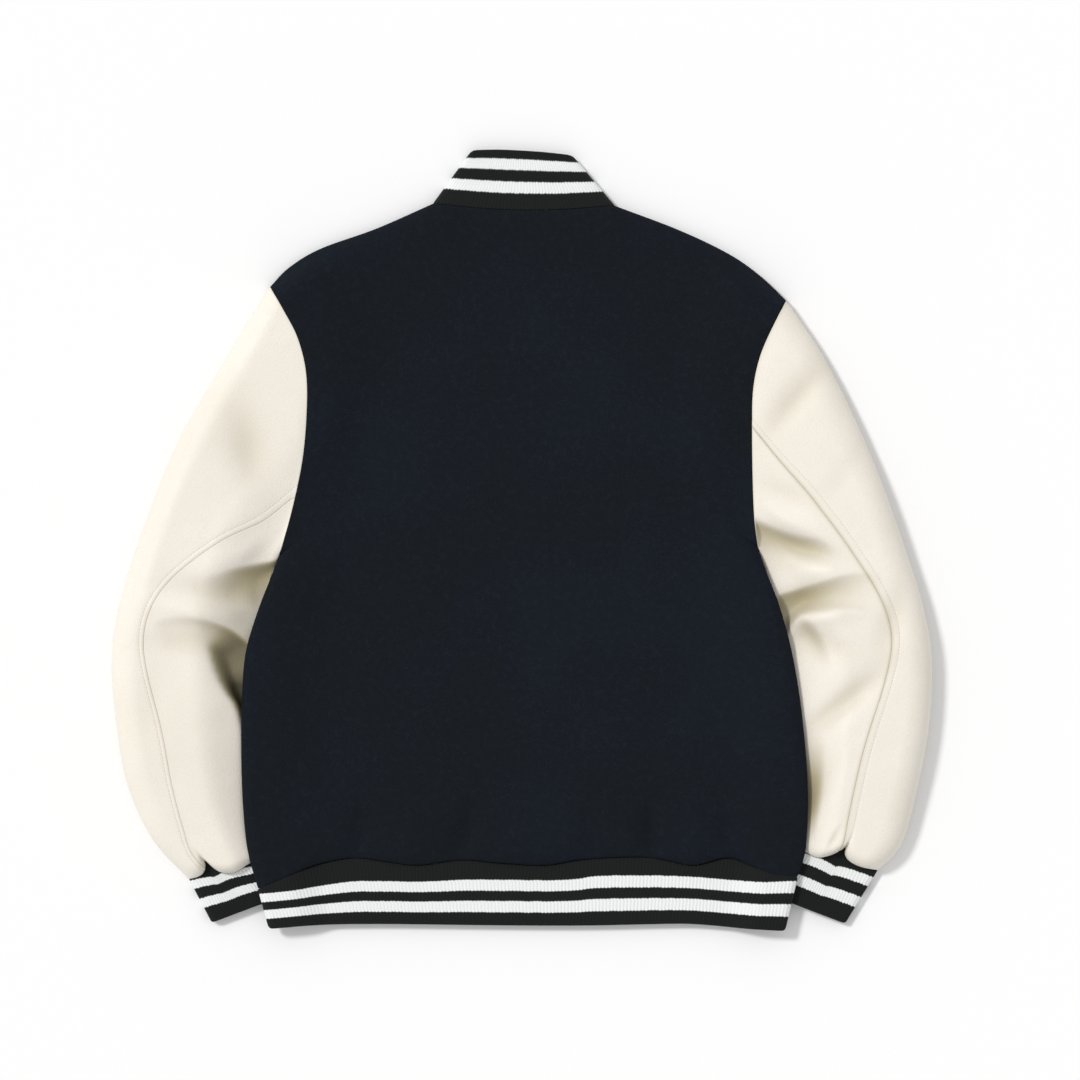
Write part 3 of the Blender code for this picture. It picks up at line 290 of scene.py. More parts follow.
RING_STEPS = 200  # in which a ring is searched for the seam,
SEAM_EVENED = 13  # whose place is averaged over this many rings
SLEEVE_RINGS = 290
FIRST_RINGS = np.array([0.0, 0.0006, 0.0014, 0.0024, 0.004])  # rings in the roll of the armhole's seam,
RINGS_FROM = 0.0066  # where the even ones start
RINGS_TO = 0.93  # and end,
LAST_RINGS = 24  # and those where the leather turns over the cuff,
LAST_CROWDING = 1.8  # close together at its end, as a power
SMOOTHINGS = 2  # passes that even out the upper sheet's heights and shades,
SMOOTH_SHARE = 0.125  # in each of which a point takes this share of each of its four neighbours
UPPER_COUNTS = {-1: (66, 44), 1: (50, 60)}  # columns before and past the seam, by side
LOWER_COUNTS = (20, 28)
INNER_STEP = 2  # the inner face of the leather has every second column
FOREARM_SEAM = 0.40  # how far across the lower sheet its other seam lies
CUFF_REACH = 24.0  # the tucked edge leaves the body's side this far above the cuff's seam
TUCKED_EVERY = 16  # points of the body's side to one that the tucked edge is drawn through


# A snap's cap, from the surface up: shares of its height, and how far each ring lies inside its rim.
SNAP_RINGS = table(
    "up inset",
    (0.16, 3.4), (0.16, 2.6), (0, 2.2), (0, 1), (0.1, 0.35), (0.3, 0), (0.65, 0), (0.9, 0.2), (1, 0.6),
)

FOLD_COLUMNS = "x y angle length above below height bend"


def even_folds(*rows):
    """A table of folds, as wide above the crest as below: centre, angle, half length, half width, height."""
    return table(FOLD_COLUMNS, *[(*row[:5], row[4], row[5], 0) for row in rows])


# Folds: centre, direction of the crest from +X, half length, half width and height. CREASES and WOOL_CREASES
# are finer, each with its own width above and below its crest, and a bend of the crest.
SLEEVE_FOLDS = even_folds(
    (-258, 88, 110, 50, 24, -3), (-262, -12, 20, 40, 11, 3), (-282, -50, -8, 44, 12, -5),
    (-298, -70, -9, 46, 11, 5), (-318, -98, 0, 36, 11, -2.5), (262, 140, 50, 44, 14, -3),
    (254, 16, -28, 34, 10, 4), (268, -6, -22, 34, 10, -6.5), (276, -30, -6, 30, 9, 2),
    (276, -54, 12, 38, 11, -6), (280, -76, 10, 32, 9, 4.5), (292, -98, -32, 28, 12, -4),
    (308, -155, 42, 44, 13, -3.5), (282, -240, 72, 34, 11, -5),
)
HEM_GATHERS = even_folds(
    (-155, -284, 84, 34, 13, -4), (-54, -280, 72, 34, 12, -5), (-104, -290, 90, 26, 22, 3.5),
    (10, -290, 90, 24, 34, 3), (68, -286, 96, 26, 14, -3), (124, -282, 86, 32, 12, -5),
    (164, -290, 90, 24, 20, 3.5), (200, -284, 98, 32, 12, -4),
)
CREASES = table(
    FOLD_COLUMNS,
    (-262, 86, 100, 28, 14, 14, -2.6, 0), (-352, -150, 86, 40, 12, 12, -0.9, 0),
    (266, 134, 48, 40, 9, 11, -1.6, 0), (312, 66, 52, 34, 11, 11, -1, 0),
    (280, -6, -30, 20, 11, 12, -2.6, 0), (304, -160, 37, 46, 9, 10, -2.8, 0),
    (356, -76, 76, 32, 13, 13, -3.3, 0), (254, 44, -24, 26, 9, 9, -1.6, 0),
    (302, -222, 84, 20, 5, 5, -0.8, 0), (299, -287, 62, 11, 3, 4, -2.4, 0),
)
EDGE_STEPS = 8  # points of an edge's path to one of its rows


def edge(reach, peak, soft, *rows):
    """A fold's edge, from which the cloth falls away on the right of its path.

    It is deepest a share peak of reach away, and soft rounds the edge. Each row has a point of the path, how
    deep the cloth falls, how far it stands up at the edge, and how dark the shade painted beside the fold is.
    """
    columns = zip("x y drop rise shade".split(), smooth_curve(rows, EDGE_STEPS).T)
    return SimpleNamespace(reach=reach, peak=peak, soft=soft, **dict(columns))


EDGES = {
    -1: (
        # the fold under the armpit, its painted shade darkest against the body
        edge(
            38, 0.55, 3,
            (-306, -36, 0, 0, 0), (-290, -31, 2.5, 0, 0.35), (-274, -26, 6, 0, 0.9),
            (-256, -22.5, 9, 0, 1.15), (-237, -19, 11, 0, 1.2),
        ),
        # under the ridge over the elbow
        edge(
            26, 0.45, 2.5,
            (-357, -84, 0, 0, 0), (-347, -76, 1.5, 0.8, 0.12), (-328, -73, 2.5, 1.5, 0.15),
            (-309, -74, 3.5, 2, 0.3), (-292, -79, 5, 2.5, 0.6), (-277, -86, 6.5, 3, 1),
            (-265, -96, 7, 2, 1.15), (-255, -106, 7, 0, 1.15),
        ),
        # the forearm's crisp edge over the pocket beside the body
        edge(
            34, 0.32, 1.1,
            (-268, -250, 0, 0, 0), (-268.5, -222, 0, 1, 0), (-269, -197, 1, 2.5, 0.1),
            (-270.5, -178, 5, 4, 0.8), (-275, -159.5, 14, 6.5, 2.6), (-282.5, -148, 16, 7.5, 2.3),
            (-290, -134.5, 14, 6, 1.7), (-295.5, -120, 12, 4, 1.45), (-299.5, -107.5, 7, 2, 1.15),
            (-302, -97, 0, 1, 0),
        ),
    ),
    1: (
        # the sharp crease at the armpit
        edge(
            30, 0.4, 1.2,
            (217, 24, 6, 1.5, 0.85), (225, 20, 6, 1.5, 0.85), (238, 14.5, 6, 1.2, 0.8),
            (252.5, 8.5, 5.5, 1, 0.65), (267, 4, 4.5, 0.5, 0.45), (283, 1.5, 3, 0, 0.25),
            (294, -4, 2, 0, 0.2), (299, -13, 1.2, 0, 0.12), (299, -24, 0, 0, 0),
        ),
        # the soft crease over the tent
        edge(
            25, 0.4, 1.6,
            (238, -57.5, 4, 0, 0.75), (247.5, -52, 4, 0, 0.7), (267, -46, 4, 0, 0.55),
            (286, -39.5, 3, 0, 0.45), (310, -32.5, 2, 0, 0.32), (328, -31, 1, 0, 0.2), (348, -34, 0, 0, 0),
        ),
        # the tent's ridge
        edge(
            18, 0.4, 1.2,
            (344, -75, 0, 0, 0), (324.5, -69, 2, 1, 0.15), (305, -67, 3, 1.8, 0.25),
            (286, -69, 5, 2.5, 0.35), (270, -72, 6.5, 4, 0.5), (262, -78.5, 6.5, 3, 0.6),
            (255.5, -90, 6, 1.5, 0.65), (247.5, -105.5, 5, 0, 0.6),
        ),
        # and the fold that runs down from its peak
        edge(
            23, 0.42, 3,
            (267, -73, 0, 0, 0), (274.5, -77, 4.5, 0.5, 0.55), (282, -83.5, 5.5, 1, 0.62),
            (289, -95, 4.5, 1, 0.5), (294.5, -109.5, 2, 0.5, 0.25), (297.5, -123, 0, 0, 0),
        ),
        # beside the body above the cuff
        edge(
            38, 0.5, 8,
            (292, -186, 0, 0, 0), (291, -208, 2.5, 0, 0.6), (290, -234, 5.5, 0, 1.15),
            (287, -257, 5.5, 0, 1.35), (284, -275, 3, 0, 0.8), (282, -290, 0, 0, 0),
        ),
    ),
}
RISE_REACH = 30.0  # how far the cloth that stands up at an edge does so behind it,
RISE_END = 6.0  # and past it
EDGE_BLEND = 0.16  # share of the distance's square over which an edge's points count together,
EDGE_BLEND_LEAST = 0.25  # with this much more
# Shade painted into the leather's colour in its folds and seams:
SHADE_SOFT = 0.7  # an edge's shade starts over this share of how round the edge is,
SHADE_LEAST = 2.2  # and over no less than this
SEAM_SHADE = {-1: 0.12, 1: 0.4}  # how dark the shade painted into the leather's seams is
SHADE_DEEP = 0.06  # the other folds' painted shade for each millimetre of their depth
LEAST_HEIGHT = 5.0  # the upper sheet stays this high,
LEAST_RUN = 4.0  # and comes down to it softly

WOOL_CREASES = table(
    FOLD_COLUMNS,
    (-155, -290, 84, 34, 5, 7, -1.1, 3), (-52, -288, 72, 26, 5, 6, -1.3, 2),
    (-30, -294, 100, 20, 5, 6, -0.8, 0), (124, -290, 90, 32, 4, 6, -1.3, -2),
    (202, -292, 100, 28, 5, 6, -1.1, 2), (88, -296, 86, 22, 7, 7, -0.6, 0),
    (-215, 226, 116, 26, 8, 8, 1.2, 0), (243, 214, 62, 24, 8, 8, 1.2, 0),
    (-120, -296, 92, 22, 6, 6, -0.5, 0), (10, -298, 90, 22, 7, 7, -0.6, 0),
)

# Soft undulation of the cloth: length of a wave, and height.
RUMPLES = table("wave height seed", (150, 0.55, 3), (64, 0.16, 5))
RUMPLE_WAVES = 7
RUMPLE_SPREAD = (0.7, 1.3)  # the waves' lengths lie between these shares of the given one

TOPSTITCH_DIP = 0.32
TOPSTITCH_WIDTH = 1.3
SEAM_PUFF = 0.22  # the cloth stands up halfway to the stitches,
PUFF_WIDTH = 0.4  # over this share of their distance

# The ribs' white stripes, by share of the height from the line where the stripes start to the free edge.
BAND_STRIPES = table("start end", (0, 0.238), (0.464, 0.709))
CUFF_STRIPES = table("start end", (0, 0.19), (0.43, 0.64))
COLLAR_STRIPES = table("start end", (0.276, 0.466), (0.664, 0.845))
# Where the hem's stripes start.
HEM_STRIPE = line(
    (-253.4, -339.6), (-223.7, -336.5), (-183.4, -330.2), (-155.5, -327.8), (-97.9, -328.3), (-48, -326.4),
    (36.5, -326.9), (74.9, -323), (113.3, -322.4), (161.3, -323.5), (223.7, -328), (264.6, -327.2),
)
STRIPE_START = (-0.5, 0.9)  # the stripes start between these shares of a band's height
HEM_UNDER_STRIPE = 44.0  # distance of the first stripe from the free edge, on the fronts

# How far the fine folds take to reach their full height from an armhole, and where they run out.
CREASES_IN = 0.05
CREASES_OUT = 0.88
CREASES_BODY = 12.0

RIB_STEP = 0.009  # how far the stripes' ends step from rib to rib,
RIB_TOOTH = 0.030  # and how much higher they lie on a rib than in the furrow
STRIPE_EDGE = 0.008
# Shade painted into the rib's colour, in the furrows between ribs and between courses of stitches:
FURROW_SHADE = 0.10
COURSE_SHADE = 0.08

# Light
FILL = 0.70
KEY = 1.665
KEY_ELEVATION = 50.0
KEY_AZIMUTH = 146.0
KEY_SOFTNESS = 10.0

# ---------------- curves and patches


def lengths(line):
    """Distance along a line at each of its points."""
    return np.concatenate([[0], np.cumsum(np.linalg.norm(np.diff(line, axis=0), axis=1))])


def run_shares(line):
    """Share of a line's length at each of its points."""
    return lengths(line) / lengths(line)[-1]


def interpolated(place, run, rows):
    """Rows of numbers at these places of a run that has the given ones."""
    return np.stack([np.interp(place, run, values) for values in rows.T], -1)


def at_shares(line, shares):
    """Points at these shares of a line's length."""
    run = lengths(line)
    return interpolated(np.asarray(shares) * run[-1], run, line)


def column(rows, name, share):
    """A smoothly varying value of a table of sections, by the table's first column."""
    first = next(iter(vars(rows).values()))
    curve = smooth_curve(np.stack([first, getattr(rows, name)], 1))
    return np.interp(share, curve[:, 0], curve[:, 1])


def turned(distance, radius):
    """0 at a fold to 1 a radius inside it, as a quarter circle rises."""
    x = np.clip(distance / radius, 0, 1)
    return np.sqrt(1 - (1 - x) ** 2)


def eased(x):
    """0 to 1, level at both ends."""
    x = np.clip(x, 0, 1)
    return x * x * (3 - 2 * x)


def mix(a, b, share):
    """From a at no share to b at all of it."""
    return a + (b - a) * share


def shares(steps):
    """0 to 1 in even steps."""
    return np.linspace(0, 1, steps + 1)


def filled_patch(first, last, start, end, across, up):
    """Points between four edges: first and last run across, start and end run up (a Coons patch)."""
    a, u = across[:, None, None], up[None, :, None]
    ruled_up = (1 - u) * first[:, None] + u * last[:, None]
    ruled_across = (1 - a) * start[None] + a * end[None]
    low = (1 - a) * (1 - u) * first[0] + a * (1 - u) * first[-1]
    return ruled_up + ruled_across - (low + (1 - a) * u * last[0] + a * u * last[-1])


def from_edge(patch, axis, reverse=False):
    """Distance of each point of a patch from one of its edges, along its own lines."""
    p = np.moveaxis(patch, axis, 0)
    p = p[::-1] if reverse else p
    steps = np.linalg.norm(np.diff(p, axis=0), axis=2)
    run = np.concatenate([np.zeros((1, p.shape[1])), np.cumsum(steps, axis=0)])
    run = run[::-1] if reverse else run
    return np.moveaxis(run, 0, axis)


def folded(x, y, folds):
    """Height that a table of folds adds at a point."""
    total = np.zeros_like(x)
    for cx, cy, angle, length, above, below, height, bend in zip(*vars(folds).values()):
        c, s = math.cos(math.radians(angle)), math.sin(math.radians(angle))
        along, across = ((x - cx) * c + (y - cy) * s) / length, (y - cy) * c - (x - cx) * s
        across = across - bend * along**2
        width = np.where(across > 0, above, below)
        total = total + height * np.exp(-(along**2) - (across / width) ** 2)
    return total


def edge_folds(x, y, edges):
    """Height, and shade painted into the cloth's colour, that folds with an edge add at a point."""
    height, shade = np.zeros_like(x), np.zeros_like(x)
    for e in edges:
        path = np.stack([e.x, e.y], 1)
        way = np.diff(path, axis=0)
        apart = np.stack([x, y], -1)[:, None] - path[:-1]
        along = np.clip(np.sum(apart * way, axis=2) / np.sum(way**2, axis=1), 0, 1)
        apart = apart - along[..., None] * way
        square = np.sum(apart**2, axis=2)
        nearest, point = np.argmin(square, axis=1), np.arange(len(x))
        least = square[point, nearest][:, None]
        weights = np.exp((least - square) / (EDGE_BLEND * least + EDGE_BLEND_LEAST))
        weights /= weights.sum(axis=1, keepdims=True)
        place = np.sum(weights * (np.arange(len(way)) + along), axis=1)
        off, way = apart[point, nearest], way[nearest]
        side = way[:, 1] * off[:, 0] - way[:, 0] * off[:, 1]
        past = np.copysign(np.sqrt(np.sum(weights * square, axis=1)), side)
        steps = np.arange(len(path))
        drop, rise, dark = (np.interp(place, steps, values) for values in (e.drop, e.rise, e.shade))
        fall = np.maximum(past, 0)
        t = (np.sqrt(fall**2 + e.soft**2) - e.soft) / (e.reach * e.peak)
        standing = rise * np.exp(-((past / np.where(past > 0, RISE_END, RISE_REACH)) ** 2))
        height = height - drop * t * np.exp(1 - t) + standing
        # painted shade, which starts at the edge and fades over its reach
        starts = 1 - np.exp(-fall / max(SHADE_LEAST, SHADE_SOFT * e.soft))
        shade = shade + dark * starts * np.exp(-((fall / e.reach) ** 2))
    return height, shade


def rumpled(x, y):
    """Height of the cloth's soft undulation at a point."""
    total = np.zeros_like(x)
    for wave, height, seed in zip(*vars(RUMPLES).values()):
        for turn, phase, stretch in np.random.default_rng(int(seed)).random((RUMPLE_WAVES, 3)):
            k = 2 * math.pi / (wave * mix(*RUMPLE_SPREAD, stretch))
            way = 2 * math.pi * turn
            total = total + height * np.cos(k * (x * math.cos(way) + y * math.sin(way)) + 2 * math.pi * phase)
    return total / math.sqrt(RUMPLE_WAVES)


def both_ends(steps):
    """0 to 1 in steps that are close together at both ends."""
    return 0.5 - 0.5 * np.cos(math.pi * shares(steps))


# ---------------- shells


def unit(v):
    """Vectors of length 1."""
    return v / np.maximum(np.linalg.norm(v, axis=-1, keepdims=True), TINY)


class Face:
    """A panel's outer face: a grid of points, the way out of the cloth at each, and its seams.

    side is 1 where the first axis crossed with the second one points out of the cloth, and else -1.
    """

    def __init__(self, grid, side, closed=False):
        self.grid, self.side, self.closed = grid, side, closed
        du = np.roll(grid, -1, 0) - np.roll(grid, 1, 0) if closed else np.gradient(grid, axis=0)
        self.out = unit(np.cross(du, np.gradient(grid, axis=1))) * side
        self.shift = np.zeros_like(grid)
        self.sewn = np.full(grid.shape[:2], FAR)  # distance from the nearest seam
        # shade painted into the cloth's colour, in its folds
        self.shade = np.zeros(grid.shape[:2])

    def level(self, where, beside):
        """Along a fold, the cloth's thickness lies level, square to the fold."""
        line = self.grid[where]
        t = unit(np.gradient(line[:, :2], axis=0))
        flat = np.column_stack([t[:, 1], -t[:, 0], np.zeros(len(t))])
        inward = self.grid[beside] - line
        self.out[where] = flat * -np.sign(np.sum(flat * inward, axis=1, keepdims=True))

    def seam(self, where, beside):
        """Moves an edge off the seam's line, along the cloth."""
        line = self.grid[where]
        across = unit(np.cross(unit(np.gradient(line, axis=0)), self.out[where]))
        inward = self.grid[beside] - line
        self.shift[where] += SEAM * across * np.sign(np.sum(across * inward, axis=1, keepdims=True))

    def sew(self, axis, reverse=False, part=slice(None)):
        """An edge with a seam, which the cloth rolls into: the first or last row, or part of it."""
        run = from_edge(self.grid, axis, reverse)
        where = (slice(None), part) if axis == 0 else (part, slice(None))
        self.sewn[where] = np.minimum(self.sewn[where], run[where])

    def rolled(self):
        """How far the outer face drops into its seams."""
        x = np.clip(1 - self.sewn / SEAM_ROLL, 0, 1)
        return -SEAM_DEPTH * (1 - np.sqrt(1 - x * x))

    def part(self, columns):
        """The face's strip of these columns."""
        strip = Face(self.grid[columns], self.side)
        strip.out, strip.shade = self.out[columns], self.shade[columns]
        return strip


def grid_quads(ids, closed, flip):
    """Faces of a grid of vertex numbers."""
    rows = np.vstack([ids, ids[:1]]) if closed else ids
    quads = np.stack([rows[:-1, :-1], rows[1:, :-1], rows[1:, 1:], rows[:-1, 1:]], -1).reshape(-1, 4)
    return quads[:, ::-1] if flip else quads


def zipped(a, b, place_a, place_b, flip):
    """Triangles between two rows of vertices, each with its places along the row."""
    faces, i, j = [], 0, 0
    while i < len(a) - 1 or j < len(b) - 1:
        step_a = j == len(b) - 1 or (
            i < len(a) - 1 and place_a[i] + place_a[i + 1] <= place_b[j] + place_b[j + 1]
        )
        face = (a[i], a[i + 1], b[j]) if step_a else (a[i], b[j + 1], b[j])
        i, j = (i + 1, j) if step_a else (i, j + 1)
        faces.append(tuple(int(v) for v in (face[::-1] if flip else face)))
    return faces


def add_object(name, data):
    """An object in the scene."""
    obj = bpy.data.objects.new(name, data)
    bpy.context.scene.collection.objects.link(obj)
    return obj


def new_object(name, vertices, faces, material):
    """A named object of these faces, its vertices in millimetres."""
    mesh = bpy.data.meshes.new(name)
    mesh.from_pydata((np.asarray(vertices) * MM).tolist(), [], faces)
    mesh.materials.append(material)
    mesh.shade_smooth()
    mesh.set_sharp_from_angle(angle=math.radians(SHARP_DEGREES))
    return add_object(name, mesh)


def add_uv(obj, name, values, period=0.0):
    """A UV map of two numbers for each vertex. A face that spans the period's end is unrolled past it."""
    mesh = obj.data
    corners = np.empty(len(mesh.loops), np.int32)
    mesh.loops.foreach_get("vertex_index", corners)
    uv = np.array(values, float)[corners]
    if period:
        starts = np.array([p.loop_start for p in mesh.polygons])
        totals = np.array([p.loop_total for p in mesh.polygons])
        highest = np.maximum.reduceat(uv[:, 0], starts)
        uv[:, 0] += period * (np.repeat(highest, totals) - uv[:, 0] > period / 2)
    layer = mesh.uv_layers.new(name=name)
    layer.data.foreach_set("uv", uv.astype(np.float32).ravel())


def wall(name, face, thickness, material, inside=None, relief=0.0, inner_relief=0.0, uv=None, period=0.0):
    """A wall of cloth from its outer face to an inner one a thickness inside it.

    inside picks the columns that the inner face has. relief and inner_relief raise each face's points, and
    uv has the UV maps' values at the outer face's points.
    """
    outer = face.grid + face.shift
    relief, inner_relief = (np.broadcast_to(values, face.sewn.shape) for values in (relief, inner_relief))
    inner = outer - thickness * face.out + inner_relief[..., None] * face.out
    outer = outer + (relief + face.rolled())[..., None] * face.out
    n, m = outer.shape[:2]
    keep = list(range(n)) if inside is None else list(inside)
    outer_id = np.arange(n * m).reshape(n, m)
    inner_id = n * m + np.arange(len(keep) * m).reshape(len(keep), m)
    turned_over = face.side < 0
    faces = grid_quads(outer_id, face.closed, turned_over).tolist()
    faces += grid_quads(inner_id, face.closed, not turned_over).tolist()
    for j, flip in ((0, turned_over), (m - 1, not turned_over)):
        row, inner_row, place, inner_place = list(outer_id[:, j]), list(inner_id[:, j]), list(range(n)), keep
        if face.closed:
            row, inner_row = row + row[:1], inner_row + inner_row[:1]
            place, inner_place = place + [n], keep + [n]
        faces += zipped(inner_row, row, inner_place, place, flip)
    if not face.closed:
        for i, i_in, flip in ((0, 0, turned_over), (n - 1, len(keep) - 1, not turned_over)):
            faces += zipped(outer_id[i], inner_id[i_in], range(m), range(m), flip)
    vertices = np.vstack([outer.reshape(-1, 3), inner[keep].reshape(-1, 3)])
    obj = new_object(name, vertices, faces, material)
    for key, values in (uv or {}).items():
        add_uv(obj, key, np.vstack([values.reshape(-1, 2), values[keep].reshape(-1, 2)]), period)
    return obj


# ---------------- sleeves


class Sleeve:
    """One sleeve's form: rings from the armhole to the cuff, each with an upper and a lower sheet."""

    def __init__(self, side):
        self.side, self.form = side, SIDES[side]  # -1 at the wearer's left, +1 at the right
        self.armhole, self.outer = self.form.armhole, self.form.outer
        self.inner = self.tucked_edge(self.form.body)
        share = shares(RING_STEPS)
        found = [self.elbow_across(x) for x in share]
        padded = np.pad(found, SEAM_EVENED // 2, mode="edge")
        smooth = np.convolve(padded, np.full(SEAM_EVENED, 1 / SEAM_EVENED), "valid")
        self.seam_across = lambda x: np.interp(x, share, smooth)

    def tucked_edge(self, body_side):
        """The sleeve's inner edge, from the armpit down inside the body's side to the cuff."""
        run = lengths(body_side)
        along = unit(np.gradient(body_side, axis=0))
        inward = np.stack([along[:, 1], -along[:, 0]], 1) * self.side
        edge = body_side + inward * np.interp(run, TUCK.down, TUCK.tuck)[:, None]
        stop = np.array(self.form.inner_seam)
        keep = edge[:, 1] > stop[1] + CUFF_REACH
        return smooth_curve(np.vstack([edge[keep][::TUCKED_EVERY], stop]))

    def across(self, lower, share):
        """Shares across a ring from the outer fold to the tucked one, with a point on the seam."""
        counts = LOWER_COUNTS if lower else UPPER_COUNTS[self.side]
        seam = FOREARM_SEAM if lower else self.seam_across(share)
        return np.concatenate([seam * both_ends(counts[0]), seam + (1 - seam) * both_ends(counts[1])[1:]])

    def elbow_across(self, share):
        """How far across a ring the elbow seam crosses it."""
        across = shares(RING_STEPS)
        apart = self.plan(share, across)[:, None] - self.form.elbow[None]
        return across[np.argmin(np.min(np.linalg.norm(apart, axis=2), axis=1))]

    def plan(self, share, across):
        """Plan points of a ring."""
        outer = at_shares(self.outer, [share])[0]
        inner = at_shares(self.inner, [column(SLEEVE_SECTIONS, "inner", share)])[0]
        line = mix(outer, inner, np.asarray(across)[:, None])
        arm = at_shares(self.armhole, across)
        straight = mix(self.armhole[0], self.armhole[-1], np.asarray(across)[:, None])
        line = line + (arm - straight) * (1 - eased(share / ARMHOLE_RUN))
        past = column(self.form.end, "past", across)
        direction = unit(np.array(self.form.cuff_outer) - self.outer[-1])
        return line + past[:, None] * direction * eased((share - 1) / END_RUN + 1)

    def heights(self, share, across, xy, lower):
        """Heights of a ring's outer face."""
        width = lengths(xy)[-1]
        fold_out = column(SLEEVE_SECTIONS, "outer_fold", share)
        fold_in = column(SLEEVE_SECTIONS, "inner_fold", share)
        turn_out = mix(SHOULDER_TURN, SLEEVE_TURN, eased(share / TURN_RUN[0]))
        turn_in = mix(ARMPIT_TURN, TUCKED_TURN, eased(share / TURN_RUN[1]))
        z = np.zeros(len(across)) if lower else self.upper_heights(share, across, xy)
        z = mix(fold_out, z, turned(across * width, turn_out * (UNDER_TURN if lower else 1)))
        z = mix(fold_in, z, turned((1 - across) * width, turn_in))
        if not lower:
            to_cuff = (1 - share) * lengths(self.outer)[-1]
            end = mix(CUFF_FOLD, CUFF_TOP, turned(np.minimum(across, 1 - across) * width, BAND_TURN))
            z = mix(end, z, turned(to_cuff, CUFF_TURN))
        return z

    def upper_heights(self, share, across, xy):
        """Heights of the upper sheet between its folds, with the cloth's own folds and creases."""
        crown = column(SLEEVE_SECTIONS, "crown", share)
        crown_end = column(SLEEVE_SECTIONS, "crown_end", share)
        tucked = column(SLEEVE_SECTIONS, "tucked", share)
        z = mix(crown, tucked, eased((across - crown_end) / (FALL_END - crown_end)))
        runs_out = eased((across - FOLDS_OUT[0]) / (FOLDS_OUT[1] - FOLDS_OUT[0]))
        x, y = xy[:, 0], xy[:, 1]
        z = z + folded(x, y, SLEEVE_FOLDS) * eased(share / FOLDS_IN) * (1 - runs_out)
        fine = folded(x, y, CREASES) + rumpled(x, y)
        z = z + fine * eased(share / CREASES_IN) * (1 - eased((across - CREASES_OUT) / (1 - CREASES_OUT)))
        z = z + edge_folds(x, y, EDGES[self.side])[0] * eased(share / CREASES_IN)
        low = LEAST_HEIGHT + LEAST_RUN
        return np.where(z < low, LEAST_HEIGHT + LEAST_RUN * np.exp((np.minimum(z, low) - low) / LEAST_RUN), z)

    def shade(self, share, xy):
        """How dark the shade painted into the upper sheet's colour is in its folds."""
        x, y = xy[:, 0], xy[:, 1]
        depth = np.maximum(-folded(x, y, SLEEVE_FOLDS) - folded(x, y, CREASES), 0)
        return (SHADE_DEEP * depth + edge_folds(x, y, EDGES[self.side])[1]) * eased(share / CREASES_IN)


def sleeve_shares():
    """Where the rings lie: close together at the armhole's seam and where the leather turns over the cuff."""
    last = 1 - (1 - RINGS_TO) * (1 - shares(LAST_RINGS)) ** LAST_CROWDING
    return np.concatenate([FIRST_RINGS, np.linspace(RINGS_FROM, RINGS_TO, SLEEVE_RINGS)[:-1], last])


SLEEVES = {side: Sleeve(side) for side in SIDES}


def sleeve_face(sleeve):
    """The sleeve's whole outer face, a closed tube: its upper sheet, then its lower one back."""
    rings, painted_shades = [], []
    for share in sleeve_shares():
        sheets = []
        for lower in (False, True):
            across = sleeve.across(lower, share)
            xy = sleeve.plan(share, across)
            sheets.append(np.column_stack([xy, sleeve.heights(share, across, xy, lower)]))
            if not lower:
                painted_shades.append(sleeve.shade(share, xy))
        rings.append(np.vstack([sheets[0], sheets[1][-2:0:-1]]))
    grid = np.stack(rings, 1)
    # the upper sheet's painted shade, evened out with its heights
    shade = np.stack(painted_shades, 1)
    for values in [grid[: len(shade), :, 2], shade] * SMOOTHINGS:
        beside = values[:-2, 1:-1] + values[2:, 1:-1] + values[1:-1, :-2] + values[1:-1, 2:]
        values[1:-1, 1:-1] = (1 - 4 * SMOOTH_SHARE) * values[1:-1, 1:-1] + SMOOTH_SHARE * beside
    face = Face(grid, sleeve.side, closed=True)
    face.shade[: len(shade)] = shade
    return face


def stitch_path(sleeve, grid):
    """The topstitching's line on a sleeve's outer face: at its distance from the elbow seam on every ring."""
    seam = UPPER_COUNTS[sleeve.side][0]
    points = []
    for share, ring in zip(sleeve_shares(), np.moveaxis(grid, 1, 0)):
        outward = ring[: seam + 1][::-1]
        apart = np.interp(share, *vars(sleeve.form.topstitch).values())
        points.append(interpolated(apart, lengths(outward), outward))
    return np.array(points)


def topstitched(sleeve, face):
    """Relief of the upper sleeve beside its elbow seam: it stands a little between seam and stitches."""
    seam = UPPER_COUNTS[sleeve.side][0]
    apart = np.interp(sleeve_shares(), *vars(sleeve.form.topstitch).values())[None]
    run = from_edge(face.grid[: seam + 1], 0, True)
    relief = -TOPSTITCH_DIP * np.exp(-(((run - apart) / TOPSTITCH_WIDTH) ** 2))
    relief += SEAM_PUFF * np.exp(-(((run - apart / 2) / (PUFF_WIDTH * apart)) ** 2))
    whole = np.zeros(face.grid.shape[:2])
    whole[: seam + 1] = relief
    return whole


def sleeve_panels(sleeve, name, face, material):
    """The upper sleeve, round the outer fold, and the under sleeve, round the tucked one."""
    around, elbow = len(face.grid), UPPER_COUNTS[sleeve.side][0]
    forearm = around - LOWER_COUNTS[0]
    strips = {"upper": np.r_[forearm:around, 0 : elbow + 1], "under": np.r_[elbow : forearm + 1]}
    relief = topstitched(sleeve, face)
    made = []
    for part, columns in strips.items():
        panel = face.part(columns)
        for where, beside in ((np.s_[0], np.s_[1]), (np.s_[-1], np.s_[-2])):
            panel.seam(where, beside)
            panel.seam((slice(None), where), (slice(None), beside))
        for axis in (0, 1):
            panel.sew(axis)
            panel.sew(axis, reverse=True)
        panel_relief = relief[columns] if part == "upper" else 0.0
        # shade painted into the leather's colour in its folds and, by side, in its seams, carried by the UV
        # map fold
        shade = panel.shade + SEAM_SHADE[sleeve.side] * np.exp(-((panel.sewn / SEAM_ROLL) ** 2))
        uv = {"fold": np.dstack([shade, np.zeros_like(shade)])}
        inside = [*range(0, len(columns) - 1, INNER_STEP), len(columns) - 1]
        made.append(wall(f"{name}_{part}", panel, LEATHER, material, inside, panel_relief, uv=uv))
    return made


